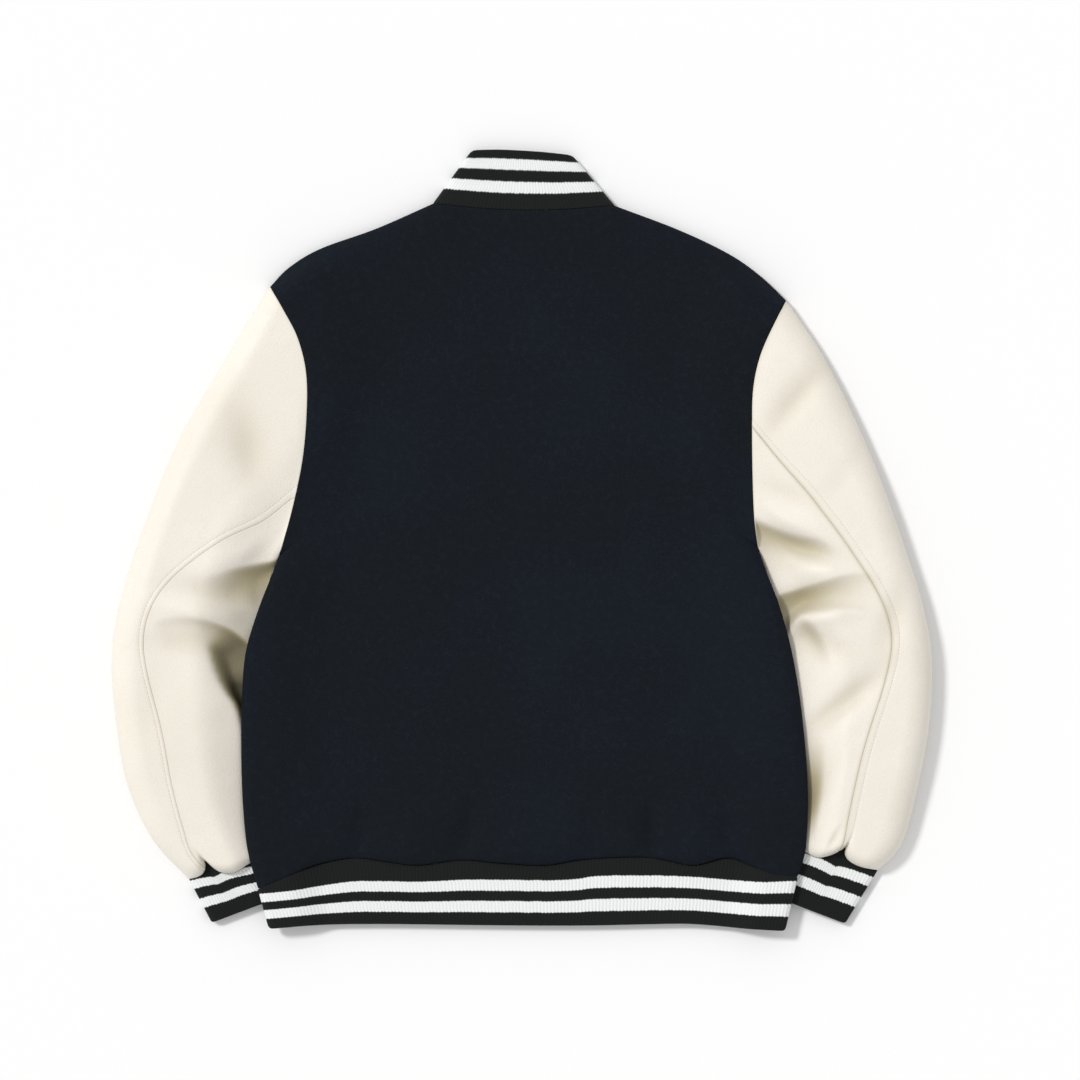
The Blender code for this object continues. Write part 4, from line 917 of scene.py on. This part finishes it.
def stitches(name, path, normals, material):
    """Stitches along a path: short threads that rise from the cloth and dip back into it."""
    run = lengths(path)
    count = int(run[-1] / (STITCH + STITCH_GAP))
    sections = shares(STITCH_SECTIONS)
    turn = 2 * math.pi * np.arange(STITCH_SIDES) / STITCH_SIDES
    vertices, faces = [], []
    for k in range(count):
        place = (k + STITCH_LATE) * (STITCH + STITCH_GAP) + sections * STITCH
        centre, up = interpolated(place, run, path), unit(interpolated(place, run, normals))
        side = unit(np.cross(np.gradient(centre, axis=0), up))
        swell = np.sqrt(np.clip(1 - (2 * sections - 1) ** 2, STITCH_TIP, 1))
        centre = centre + up * (THREAD * (STITCH_SWELL * swell - STITCH_SUNK))[:, None]
        radius = (0.5 * THREAD * swell)[:, None, None]
        ring = np.cos(turn)[None, :, None] * side[:, None] + np.sin(turn)[None, :, None] * up[:, None]
        ids = len(vertices) + np.arange(len(sections) * STITCH_SIDES).reshape(len(sections), STITCH_SIDES)
        vertices += (centre[:, None] + radius * ring).reshape(-1, 3).tolist()
        faces += grid_quads(ids.T, True, False).tolist()
        faces += [ids[0, ::-1].tolist(), ids[-1].tolist()]
    return new_object(name, vertices, faces, material)


# ---------------- body


def body_border(sleeve, lower):
    """One side of the body from the hem to the shoulder's tip: its line, and a sheet's heights inside it."""
    up = 0.5 * (shares(SIDE_ROWS) + both_ends(SIDE_ROWS))
    below = at_shares(sleeve.form.body[::-1], up)
    across = sleeve.across(lower, 0.0)
    arm = at_shares(sleeve.armhole, across)
    arm_z = sleeve.heights(0.0, across, arm, lower)[-2::-1]
    arm_level = np.zeros(len(arm_z)) if lower else np.maximum(arm_z, BODY_TOP)
    return SimpleNamespace(
        xy=np.vstack([below, arm[-2::-1]]),
        edge=np.concatenate([column(SIDE_SECTIONS, "fold", up), arm_z]),
        level=np.concatenate([column(SIDE_SECTIONS, "lift" if lower else "top", up), arm_level]),
        turn=np.concatenate([column(SIDE_SECTIONS, "turn", up), np.full(len(arm_z), ARMHOLE_TURN)]),
        armpit=len(up) - 1,
    )


def evened(border):
    """The border, with the height inside it and how far in it turns over changing softly at the armpit."""
    run = lengths(border.xy)
    step = np.gradient(run)
    weights = np.exp(-(((run[:, None] - run) / ARMPIT_EVENED) ** 2)) * step
    weights /= weights.sum(axis=1, keepdims=True)
    near = np.exp(-(((run - run[border.armpit]) / ARMPIT_REACH) ** 4))
    border.level = mix(border.level, weights @ border.level, near)
    border.turn = mix(border.turn, weights @ border.turn, near)
    return border


def shoulder_samples():
    """Shares of a shoulder from its tip to the neck."""
    return shares(SHOULDER_COLUMNS) ** SHOULDER_CROWDING


def hem_heights(from_end, lower):
    """Heights of the hem's outer face, by distance from its end fold."""
    settled = eased((from_end - LIFTED) / LIFT_RUN)
    inside = mix(HEM_END_LIFT, 0.0, settled) if lower else mix(HEM_END_TOP, HEM_TOP, settled)
    return mix(SIDE_SECTIONS.fold[0], inside, turned(from_end, BAND_TURN))


def lapped_height(side, xy):
    """Height at which a front lies where the fronts overlap: the left on its snaps, the right on the left."""
    past = (xy[..., 0] - CENTRE_X) * side - OVERLAP
    if side < 0:
        above_hem = eased((xy[..., 1] - PLACKET_FOOT) / SNAP_CLEAR)
        return PLACKET_RISE * (1 - eased(past / LEFT_RAMP)) * above_hem
    return LAPPED * (1 - eased((past - LAP_MARGIN) / RIGHT_RAMP))


def back_face():
    """The back panel's outer face."""
    left, right = (evened(body_border(sleeve, False)) for sleeve in SLEEVES.values())
    shoulder = shoulder_samples()
    tips = [at_shares(side.shoulder, shoulder) for side in SIDES.values()]
    top = np.vstack([tips[0], at_shares(NECK_BACK, shares(NECK_COLUMNS))[1:-1], tips[1][::-1]])
    n = SHOULDER_COLUMNS
    near = SIDE_ZONE * shares(n) ** SIDE_CROWDING
    middle = np.linspace(near[-1], 1 - near[-1], NECK_COLUMNS + 1)[1:-1]
    across = np.concatenate([near, middle, 1 - near[::-1]])
    bottom = at_shares(HEM_SEAM_BACK, across)
    up = 0.5 * (run_shares(left.xy) + run_shares(right.xy))
    xy = filled_patch(bottom, top, left.xy, right.xy, across, up)
    x, y = xy[..., 0], xy[..., 1]
    z = BODY_TOP + BODY_CROWN * np.sin(math.pi * up)[None, :] + folded(x, y, HEM_GATHERS)
    for border, distance in ((left, from_edge(xy, 0)), (right, from_edge(xy, 0, True))):
        z = mix(border.level[None, :], z, eased((distance - LIFTED) / BACK_LIFT_RUN))
        z = mix(border.edge[None, :], z, turned(distance, border.turn[None, :]))
    inside = np.minimum(from_edge(xy, 0), from_edge(xy, 0, True))
    z = z + (rumpled(x, y) + folded(x, y, WOOL_CREASES)) * eased(inside / CREASES_BODY)
    run = lengths(top[n:-n])
    neck_z = mix(SHOULDER_FOLD, NECK_TOP, turned(np.minimum(run, run[-1] - run), SHOULDER_TURN))
    top_z = np.concatenate([np.full(n, SHOULDER_FOLD), neck_z, np.full(n, SHOULDER_FOLD)])
    z = mix(top_z[:, None], z, turned(from_edge(xy, 1, True), SHOULDER_TURN))
    run = lengths(bottom)
    hem_z = hem_heights(np.minimum(run, run[-1] - run), False)
    z = mix(hem_z[:, None], z, turned(from_edge(xy, 1), HEM_TURN))
    face = Face(np.dstack([xy, z]), 1)
    sew_border(face, [(0, 1), (-1, -2)], left.armpit)
    neck = slice(n, len(xy) - n)
    for shoulder_part in (slice(0, n + 1), slice(len(xy) - n - 1, len(xy))):
        face.level((shoulder_part, -1), (shoulder_part, -2))
    face.seam((slice(None), -1), (slice(None), -2))
    face.seam(np.s_[:, 0], np.s_[:, 1])
    face.sew(1)
    face.sew(1, reverse=True, part=neck)
    for reverse in (False, True):
        face.sew(0, reverse, slice(left.armpit, None))
    return face


def front_face(sleeve):
    """One front panel's outer face, from its placket's edge to the side."""
    border, shoulder = body_border(sleeve, True), sleeve.form.shoulder
    placket_x = CENTRE_X - sleeve.side * OVERLAP
    neck = front_curve(NECK_FRONT, sleeve.side, shoulder[-1])
    seam = HEM_SEAM_FRONT
    corner_row = len(border.xy) - 1 - NECKLINE_ROWS
    corner = np.array([placket_x, np.interp(placket_x, seam[:, 0], seam[:, 1])])
    up = run_shares(border.xy)
    straight = mix(corner, neck[0], (up[: corner_row + 1] / up[corner_row])[:, None])
    start = np.vstack([straight, at_shares(neck, shares(NECKLINE_ROWS))[1:]])
    steps = both_ends(FRONT_COLUMNS)
    top = at_shares(shoulder[::-1], steps)
    bottom_x = mix(placket_x, border.xy[0, 0], steps)
    bottom = np.column_stack([bottom_x, np.interp(bottom_x, seam[:, 0], seam[:, 1])])
    bottom[-1] = border.xy[0]
    xy = filled_patch(bottom, top, start, border.xy, steps, up)
    from_side, from_top = from_edge(xy, 0, True), from_edge(xy, 1, True)
    z = lapped_height(sleeve.side, xy)
    z = mix(border.level[None, :], z, eased((from_side - LIFTED) / LIFT_RUN))
    z = mix(border.edge[None, :], z, turned(from_side, SIDE_TURN))
    z = mix(SHOULDER_FOLD, z, turned(from_top, LOWER_TURN))
    face = Face(np.dstack([xy, z]), -sleeve.side)
    sew_border(face, [(-1, -2)], border.armpit)
    face.level(np.s_[:, -1], np.s_[:, -2])
    face.seam(np.s_[:, -1], np.s_[:, -2])
    face.seam(np.s_[:, 0], np.s_[:, 1])
    face.sew(1)
    face.sew(0, True, slice(border.armpit, None))
    return face


def sew_border(face, sides, armpit):
    """The side folds below the armholes, and the armholes."""
    for edge, beside in sides:
        below = slice(0, armpit + 1)
        face.level((edge, below), (beside, below))
        face.seam(edge, beside)


def front_curve(rows, side, end):
    """A line of the left or right front's neck, from the centre out and up to its end."""
    points = np.stack([CENTRE_X + side * rows.out, NECK_BASE_Y + rows.up], 1)
    return smooth_curve(np.vstack([points, [end]]))


# ---------------- rib bands


def ribs_across(width):
    """Distances across a layer of rib from its fold, with each one's rib number."""
    count = int(width / RIB_PITCH)
    start = 0.5 * (width - count * RIB_PITCH)
    distance = start + RIB_PITCH / RIB_SAMPLES * np.arange(RIB_SAMPLES * count + 1)
    near = FOLD_STEPS[FOLD_STEPS < start - FOLD_CLEAR]
    far = width - near[::-1]
    distance = np.concatenate([near, distance, far])
    return distance, (distance - start) / RIB_PITCH


def rib_section(number):
    """Height of a rib's section between -0.5 and 0.5, by rib number."""
    return np.abs(np.sin(math.pi * number)) ** RIB_ROUND - 0.5


class Band:
    """A strip of rib knit between a seam and its free edge, gathered up from stretches along it."""

    def __init__(self):
        self.seam, self.free, self.number, self.rest, self.stripe = [], [], [], [], []

    def add(self, seam, free, number, rest, stripe):
        """A stretch: points on the seam and on the free edge, with heights.

        number counts its ribs, rest is True where it lies on the surface, and stripe is the share of the
        height at which the stripes' pattern starts.
        """
        counted = self.number[-1][-1] + 1 if self.number else 0
        self.seam.append(seam)
        self.free.append(free)
        self.number.append(number - number[0] + counted)
        self.rest.append(np.full(len(seam), rest))
        self.stripe.append(np.broadcast_to(stripe, len(seam)))

    def make(self, name, side, material, folds, closed=False):
        """folds are the columns at which the band turns from its lower layer to its upper one, and back."""
        seam, free = np.vstack(self.seam), np.vstack(self.free)
        number, rest, stripe = (np.concatenate(part) for part in (self.number, self.rest, self.stripe))
        whole = np.linalg.norm(seam - free, axis=1)
        free = free + unit(seam - free) * self.rounded(free, folds, closed)[:, None]
        face = Face(np.stack([mix(seam, free, share) for share in BAND_ROWS], 1), side, closed)
        face.level(np.s_[folds[0]], np.s_[folds[0] + 1])
        face.level(np.s_[folds[1]], np.s_[folds[1] - 1])
        face.seam(np.s_[:, 0], np.s_[:, 1])
        face.sew(1)
        height = np.linalg.norm(seam - free, axis=1)[:, None]
        share = BAND_ROWS * height / whole[:, None]
        x = np.clip(1 - (1 - BAND_ROWS) * height / EDGE_ROLL, 0, 1)
        rolled = 0.5 * RIB_KNIT * (1 - np.sqrt(1 - x * x))
        relief = RIB_RELIEF * (rib_section(number) - 0.5 * rest)[:, None] * (1 - x) - rolled
        knit = np.dstack([np.broadcast_to(number[:, None], relief.shape), BAND_ROWS * height])
        pattern = (share - stripe[:, None]) / (1 - stripe[:, None])
        stripes = np.dstack([pattern, np.broadcast_to(number[:, None], relief.shape)])
        inside = [0, *range(1, len(seam) - 1, RIB_SAMPLES), len(seam) - 1]
        period = 2 * number[-1] - number[-2] if closed else 0.0
        uv = {"knit": knit, "stripes": stripes}
        return wall(name, face, RIB_KNIT, material, inside, relief, rolled, uv, period)

    def rounded(self, free, folds, closed):
        """How far the free edge draws back at the corners over the folds."""
        run = lengths(free)
        whole = run[-1] + np.linalg.norm(free[-1] - free[0])
        apart = np.abs(run[:, None] - run[list(folds)])
        if closed:
            apart = np.minimum(apart, whole - apart)
        x = np.clip(1 - apart.min(axis=1) / CORNER, 0, 1)
        return CORNER * (1 - np.sqrt(1 - x * x))


def raised(xy, z):
    """Plan points at these heights."""
    return np.column_stack([xy, np.broadcast_to(z, len(xy))])


def crossing(seam, free, line):
    """Share of the way from seam to free edge at which each of their pairs crosses a line over x."""
    y = np.interp(seam[:, 0], line[:, 0], line[:, 1])
    return np.clip((seam[:, 1] - y) / (seam[:, 1] - free[:, 1]), *STRIPE_START)


def wrapped_band(name, side, material, seam, edge, heights, start, front):
    """A band from the left front's edge round the back to the right front's.

    seam and edge are its seam and its free edge at the back, and heights gives theirs by the distance from a
    fold. start is the line where the stripes start there, or none. front gives a front's layer, fold first.
    """
    width = lengths(seam)[-1]
    across, ribs = ribs_across(width)
    upper, lower = at_shares(seam, across / width), at_shares(edge, across / width)
    z, free_z = heights(np.minimum(across, width - across))
    begins = 0.0 if start is None else crossing(upper, lower, start)
    band = Band()
    sewn, free, number, under = front(-1)
    band.add(sewn[::-1], free[::-1], number, True, under[::-1])
    band.add(raised(upper, z), raised(lower, free_z), ribs, False, begins)
    fold = len(sewn)
    sewn, free, number, under = front(1)
    band.add(sewn, free, number, True, under)
    return band.make(name, side, material, (fold, fold + len(across) - 1))


def hem_band(back, fronts, material):
    """The hem rib, from the left front's placket round the back to the right front's."""

    def heights(from_fold):
        z = hem_heights(from_fold, False)
        return z, z

    def front(side):
        edge = fronts[side].grid[::-1, 0, :2]
        fold = HEM_EDGE[0 if side < 0 else -1]
        distance, number = (values[1:] for values in ribs_across(lengths(edge)[-1]))
        seam = at_shares(edge, distance / lengths(edge)[-1])
        level = eased(distance / HEM_SLANT_RUN)
        slant = (fold[0] - edge[0, 0]) * (1 - level)
        free = np.column_stack([seam[:, 0] + slant, mix(fold[1], HEM_FRONT_EDGE_Y, level)])
        lap = lapped_height(1, seam) if side > 0 else 0.0
        z = hem_heights(distance, True) + eased((distance - LIFTED) / LIFT_RUN) * lap
        under = 1 - HEM_UNDER_STRIPE / np.linalg.norm(seam - free, axis=1)
        return raised(seam, z), raised(free, z), number, under

    return wrapped_band("hem_rib", -1, material, back.grid[:, 0, :2], HEM_EDGE, heights, HEM_STRIPE, front)


def collar_band(back, fronts, material):
    """The collar, from the centre of the left front round the back of the neck to that of the right one."""
    seam = back.grid[SHOULDER_COLUMNS : len(back.grid) - SHOULDER_COLUMNS, -1, :2]

    def heights(from_fold):
        z = mix(SHOULDER_FOLD, NECK_TOP, turned(from_fold, SHOULDER_TURN))
        return z, mix(COLLAR_FOLD, COLLAR_EDGE_TOP, turned(from_fold, BAND_TURN))

    def front(side):
        neck = fronts[side].grid[0, -1 - NECKLINE_ROWS :, :2][::-1]
        run = lengths(neck)
        reach = np.interp(-COLLAR_GAP, (CENTRE_X - neck[:, 0]) * side, run)
        distance, number = (values[1:] for values in ribs_across(reach))
        start = at_shares(neck, distance / run[-1])
        rim = front_curve(COLLAR_FRONT, side, COLLAR_EDGE[0 if side < 0 else -1])[::-1]
        z = mix(SHOULDER_FOLD, lapped_height(side, start), turned(distance, LOWER_TURN))
        free_z = mix(COLLAR_FOLD, 0.0, turned(distance * COLLAR_SLANT, BAND_TURN))
        free = at_shares(rim, distance / reach)
        return raised(start, z), raised(free, free_z), number, np.zeros(len(start))

    return wrapped_band("collar_rib", 1, material, seam, COLLAR_EDGE, heights, None, front)


def cuff_band(sleeve, face, name, material):
    """A cuff: a closed tube of rib, the upper layer from the outer fold to the tucked one, then the lower."""
    top = sum(UPPER_COUNTS[sleeve.side]) + 1
    end = face.grid[:, -1, :2]
    upper_line, lower_line = end[:top], np.vstack([end[top - 1 :], end[:1]])[::-1]
    width, lower_width = lengths(upper_line)[-1], lengths(lower_line)[-1]
    outer_edge, inner_edge = np.array(sleeve.form.cuff_outer), np.array(sleeve.form.cuff_inner)
    (x, y), (end_x, end_y) = sorted(sleeve.form.stripe)
    far = np.array([-FAR, FAR])
    stripe_line = np.column_stack([far, y + (end_y - y) / (end_x - x) * (far - x)])
    band = Band()

    def layer(line, share, top_z, number, rest):
        z = mix(CUFF_FOLD, top_z, turned(np.minimum(share, 1 - share) * width, BAND_TURN))
        seam, free = at_shares(line, share), mix(outer_edge, inner_edge, share[:, None])
        start = np.zeros(len(share)) if rest else crossing(seam, free, stripe_line)
        band.add(raised(seam, z), raised(free, z), number, rest, start)

    across, ribs = ribs_across(width)
    layer(upper_line, across / width, CUFF_TOP, ribs, False)
    below, ribs = ribs_across(lower_width)
    below, ribs = below[-2:0:-1] / lower_width, ribs[1:-1]
    layer(lower_line, below, 0.0, ribs, True)
    return band.make(name, sleeve.side, material, (0, len(across) - 1), closed=True)


# ---------------- snaps


def snap(name, y, material):
    """A snap's cap under the left front: a flat disc with a rolled rim and a shallow ring on its face."""
    turn = 2 * math.pi * np.arange(SNAP_SIDES) / SNAP_SIDES
    rings = [(up * SNAP_CAP, SNAP_R - inset) for up, inset in zip(SNAP_RINGS.up, SNAP_RINGS.inset)]
    vertices = [(CENTRE_X + r * math.cos(a), y + r * math.sin(a), z) for z, r in rings for a in turn]
    ids = np.arange(len(vertices)).reshape(len(rings), SNAP_SIDES).T
    faces = grid_quads(ids, True, False).tolist()
    faces += [ids[::-1, 0].tolist(), ids[:, -1].tolist()]
    return new_object(name, vertices, faces, material)


# ---------------- materials


class Nodes:
    """A material's node tree, built by short calls."""

    def __init__(self, name, roughness, metallic=0.0, **sockets):
        self.material = bpy.data.materials.new(name)
        self.material.use_nodes = True
        self.tree = self.material.node_tree
        self.shader = self.tree.nodes["Principled BSDF"]
        self.shader.inputs["Roughness"].default_value = roughness
        self.shader.inputs["Metallic"].default_value = metallic
        for key, value in sockets.items():
            self.shader.inputs[key.replace("_", " ")].default_value = value

    def node(self, kind, output=0, settings=None, **inputs):
        """A node with these settings and inputs, each a number, a colour or another node's output."""
        made = self.tree.nodes.new(kind)
        for key, value in (settings or {}).items():
            setattr(made, key, value)
        for key, value in inputs.items():
            socket = made.inputs[int(key[1:]) if key[1:].isdigit() else key.replace("_", " ")]
            if isinstance(value, bpy.types.NodeSocket):
                self.tree.links.new(value, socket)
            else:
                socket.default_value = value
        return made.outputs[output]

    def math(self, operation, a, b=0.0, c=0.0):
        return self.node("ShaderNodeMath", settings={"operation": operation}, _0=a, _1=b, _2=c)

    def steps(self, value, low, high, least=0.0, most=1.0):
        """least to most as a value goes from low to high."""
        ends = {"From_Min": low, "From_Max": high, "To_Min": least, "To_Max": most}
        return self.node("ShaderNodeMapRange", Value=value, **ends)

    def mix(self, share, a, b):
        """A colour between two."""
        sockets = {"_0": share, "_6": a, "_7": b}
        return self.node("ShaderNodeMix", output=2, settings={"data_type": "RGBA"}, **sockets)

    def place(self):
        return self.node("ShaderNodeTexCoord", output=3)

    def noise(self, scale, detail=2.0, roughness=0.5):
        """Noise of this many features to a metre."""
        inputs = {"Scale": scale, "Detail": detail, "Roughness": roughness}
        return self.node("ShaderNodeTexNoise", Vector=self.place(), **inputs)

    def bump(self, height, distance, strength=1.0, below=None):
        inputs = {"Height": height, "Distance": distance, "Strength": strength}
        if below is not None:
            inputs["Normal"] = below
        return self.node("ShaderNodeBump", **inputs)

    def finish(self, colour, normal, roughness=None):
        self.tree.links.new(colour, self.shader.inputs["Base Color"])
        self.tree.links.new(normal, self.shader.inputs["Normal"])
        if roughness is not None:
            self.tree.links.new(roughness, self.shader.inputs["Roughness"])
        return self.material


def wool_material():
    """Navy melton: a short brushed nap, with a fine mottle and soft clumps of fibre."""
    sheen = {"Sheen_Weight": 0.05, "Sheen_Roughness": 0.5, "Sheen_Tint": (0.25, 0.32, 0.5, 1.0)}
    m = Nodes("navy_melton", 0.9, Specular_IOR_Level=0.06, **sheen)
    nap = m.noise(900.0, 4.0, 0.65)
    clumps = m.noise(160.0, 3.0, 0.6)
    drift = m.noise(7.0, 2.0)
    dark = m.mix(m.steps(drift, 0.35, 0.65), (0.0072, 0.0095, 0.0118, 1), (0.0074, 0.0100, 0.0150, 1))
    light = m.mix(m.steps(nap, 0.55, 0.8), dark, (0.020, 0.025, 0.036, 1))
    colour = m.mix(m.math("MULTIPLY", m.steps(clumps, 0.5, 0.75), 0.35), light, (0.014, 0.018, 0.026, 1))
    normal = m.bump(nap, 0.0004, 0.55, m.bump(clumps, 0.0008, 0.3))
    return m.finish(colour, normal)


def leather_material():
    """Cream garment leather: a fine pebbled grain with pores, slightly uneven in colour and shine, with
    painted fold shade.
    """
    m = Nodes("cream_leather", 0.5, Specular_IOR_Level=0.3)
    cells = m.node("ShaderNodeTexVoronoi", Vector=m.place(), Scale=620.0, Randomness=1.0)
    pores = m.noise(1500.0, 3.0, 0.6)
    tone = m.noise(9.0, 3.0, 0.55)
    fine_tone = m.noise(85.0, 3.0, 0.6)
    base = m.mix(m.steps(tone, 0.35, 0.65), (0.805, 0.755, 0.668, 1), (0.835, 0.785, 0.706, 1))
    colour = m.mix(m.math("MULTIPLY", m.steps(fine_tone, 0.45, 0.75), 0.16), base, (0.760, 0.700, 0.590, 1))
    colour = m.mix(m.math("MULTIPLY", m.steps(cells, 0.45, 0.75), 0.12), colour, (0.62, 0.56, 0.45, 1))
    # Painted shade in the folds and seams, read from the UV map fold: towards olive up to 1, towards near
    # black from 1 to 2
    fold = m.node("ShaderNodeSeparateXYZ", Vector=m.node("ShaderNodeUVMap", settings={"uv_map": "fold"}))
    colour = m.mix(m.steps(fold, 0.0, 1.0), colour, (0.44, 0.385, 0.245, 1))
    colour = m.mix(m.steps(fold, 1.0, 2.0), colour, (0.08, 0.07, 0.04, 1))
    normal = m.bump(pores, 0.0002, 0.25, m.bump(m.steps(cells, 0.8, 0.1), 0.0004, 0.28))
    return m.finish(colour, normal, m.steps(fine_tone, 0.3, 0.7, 0.44, 0.56))


def rib_material(name, rows):
    """Rib knit: courses of V stitches up each rib, white stripes whose ends step from rib to rib, and painted
    shade.
    """
    m = Nodes(name, 0.85, Specular_IOR_Level=0.1, Sheen_Weight=0.06, Sheen_Roughness=0.5)
    split = "ShaderNodeSeparateXYZ"
    knit = m.node("ShaderNodeUVMap", settings={"uv_map": "knit"})
    stripes = m.node("ShaderNodeUVMap", settings={"uv_map": "stripes"})
    number, height = m.node(split, 0, Vector=knit), m.node(split, 1, Vector=knit)
    share = m.node(split, 0, Vector=stripes)
    middle = m.math("ABSOLUTE", m.math("SUBTRACT", m.math("FRACT", number), 0.5))
    chance = m.node("ShaderNodeTexWhiteNoise", settings={"noise_dimensions": "1D"}, W=m.math("FLOOR", number))
    jag = m.math("MULTIPLY_ADD", chance, RIB_STEP, m.math("MULTIPLY", middle, RIB_TOOTH))
    share = m.math("SUBTRACT", m.math("ADD", share, jag), 0.5 * RIB_STEP + 0.25 * RIB_TOOTH)
    white = None
    for start, end in zip(rows.start, rows.end):
        band = m.math(
            "MULTIPLY",
            m.steps(share, start - STRIPE_EDGE, start + STRIPE_EDGE),
            m.steps(share, end + STRIPE_EDGE, end - STRIPE_EDGE),
        )
        white = band if white is None else m.math("ADD", white, band)
    course = m.math("FRACT", m.math("DIVIDE", m.math("MULTIPLY_ADD", middle, COURSE, height), COURSE))
    stitch = m.math("SINE", m.math("MULTIPLY", course, math.pi))
    furrow = m.steps(middle, 0.5, 0.3)
    fibre = m.noise(1400.0, 3.0, 0.6)
    yarn_dark = m.mix(fibre, (0.007, 0.0085, 0.0082, 1), (0.014, 0.0165, 0.0158, 1))
    yarn_white = m.mix(fibre, (0.80, 0.82, 0.81, 1), (0.90, 0.92, 0.91, 1))
    colour = m.mix(white, yarn_dark, yarn_white)
    # painted shade: darker in each furrow, and between courses of stitches
    ribs = m.math("MULTIPLY_ADD", furrow, FURROW_SHADE, 1 - FURROW_SHADE)
    shade = m.math("MULTIPLY", ribs, m.math("MULTIPLY_ADD", stitch, COURSE_SHADE, 1 - COURSE_SHADE))
    shaded = m.mix(shade, (0.0, 0.0, 0.0, 1), colour)
    height_map = m.math("MULTIPLY_ADD", fibre, 0.3, stitch)
    return m.finish(shaded, m.bump(height_map, 0.0004, 0.6))


def thread_material():
    """Cream polyester thread, with the twist of its plies."""
    m = Nodes("cream_thread", 0.55)
    ply = m.node("ShaderNodeTexWave", settings={"bands_direction": "DIAGONAL"}, Vector=m.place(), Scale=900.0)
    colour = m.mix(ply, (0.66, 0.60, 0.49, 1), (0.80, 0.74, 0.64, 1))
    return m.finish(colour, m.bump(ply, 0.0001, 0.4))


def snap_material():
    """Dull nickel, brushed, with a few fine scratches."""
    m = Nodes("snap_nickel", 0.35, 1.0)
    brushed = m.noise(2500.0, 2.0)
    worn = m.noise(300.0, 3.0)
    colour = m.mix(worn, (0.42, 0.42, 0.43, 1), (0.60, 0.60, 0.61, 1))
    return m.finish(colour, m.bump(brushed, 0.00005, 0.3), m.steps(worn, 0.3, 0.7, 0.26, 0.42))


def floor_material():
    """A plain pale floor."""
    return Nodes("pale_floor", 0.9, Base_Color=(0.9, 0.9, 0.9, 1.0), Specular_IOR_Level=0.0).material


# ---------------- the jacket


def stand_in(obj, node):
    """obj rides on the body and is shown for this node, whose own mesh is hidden."""
    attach(obj, ROOT)
    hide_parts(node)
    return obj


def build():
    """All of the jacket's pieces."""
    wool, leather, thread = wool_material(), leather_material(), thread_material()
    ribs = {
        "hem": rib_material("hem_knit", BAND_STRIPES),
        "cuff": rib_material("cuff_knit", CUFF_STRIPES),
        "collar": rib_material("collar_knit", COLLAR_STRIPES),
    }
    back = back_face()
    fronts = {side: front_face(sleeve) for side, sleeve in SLEEVES.items()}
    stand_in(wall("back_wool", back, WOOL, wool), "back")
    for side, name in ((-1, "left"), (1, "right")):
        panel = wall(f"front_{name}_wool", fronts[side], WOOL, wool)
        stand_in(panel, f"front_{name}")
        sleeve = SLEEVES[side]
        face = sleeve_face(sleeve)
        upper, under = sleeve_panels(sleeve, f"arm_{name}", face, leather)
        stand_in(upper, f"sleeve_{name}_upper")
        stand_in(under, f"sleeve_{name}_under")
        sewn = stitches(
            f"topstitching_{name}", stitch_path(sleeve, face.grid), stitch_path(sleeve, face.out), thread
        )
        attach(sewn, ROOT)
        cuff = cuff_band(sleeve, face, f"cuff_{name}_rib", ribs["cuff"])
        stand_in(cuff, f"cuff_{name}")
    stand_in(hem_band(back, fronts, ribs["hem"]), "hem")
    stand_in(collar_band(back, fronts, ribs["collar"]), "collar")
    metal = snap_material()
    for k, y in enumerate(np.linspace(SNAP_FIRST_Y, SNAP_LAST_Y, SNAPS)):
        stand_in(snap(f"snap_cap_{k + 1}", y, metal), f"snap_{k + 1}")


# ---------------- the studio


def studio():
    """A pale floor, soft light all round, a softened key light from the upper left, and the camera above."""
    mesh = bpy.data.meshes.new("floor")
    corners = [(x, y, FLOOR_Z * MM) for x, y in ((-1, -1), (1, -1), (1, 1), (-1, 1))]
    mesh.from_pydata([(x * FLOOR_HALF, y * FLOOR_HALF, z) for x, y, z in corners], [], [(0, 1, 2, 3)])
    mesh.materials.append(floor_material())
    add_object("floor", mesh)

    world = bpy.data.worlds.new("studio")
    world.use_nodes = True
    background = world.node_tree.nodes["Background"]
    background.inputs["Color"].default_value = (1.0, 1.0, 1.0, 1.0)
    background.inputs["Strength"].default_value = FILL
    bpy.context.scene.world = world

    key = bpy.data.lights.new("key", "SUN")
    key.energy = KEY
    key.angle = math.radians(KEY_SOFTNESS)
    tilt, turn = math.radians(90.0 - KEY_ELEVATION), math.radians(KEY_AZIMUTH)
    add_object("key", key).rotation_euler = (0.0, tilt, turn)

    camera = bpy.data.cameras.new("camera")
    camera.sensor_width = SENSOR
    camera.lens = SENSOR * (CAMERA_HEIGHT - BODY_TOP) / FRAME_WIDTH
    bpy.context.scene.camera = add_object("camera", camera)
    bpy.context.scene.camera.location = (FRAME_CENTRE_X * MM, 0.0, CAMERA_HEIGHT * MM)
    bpy.context.scene.view_settings.view_transform = "Standard"


build()
studio()
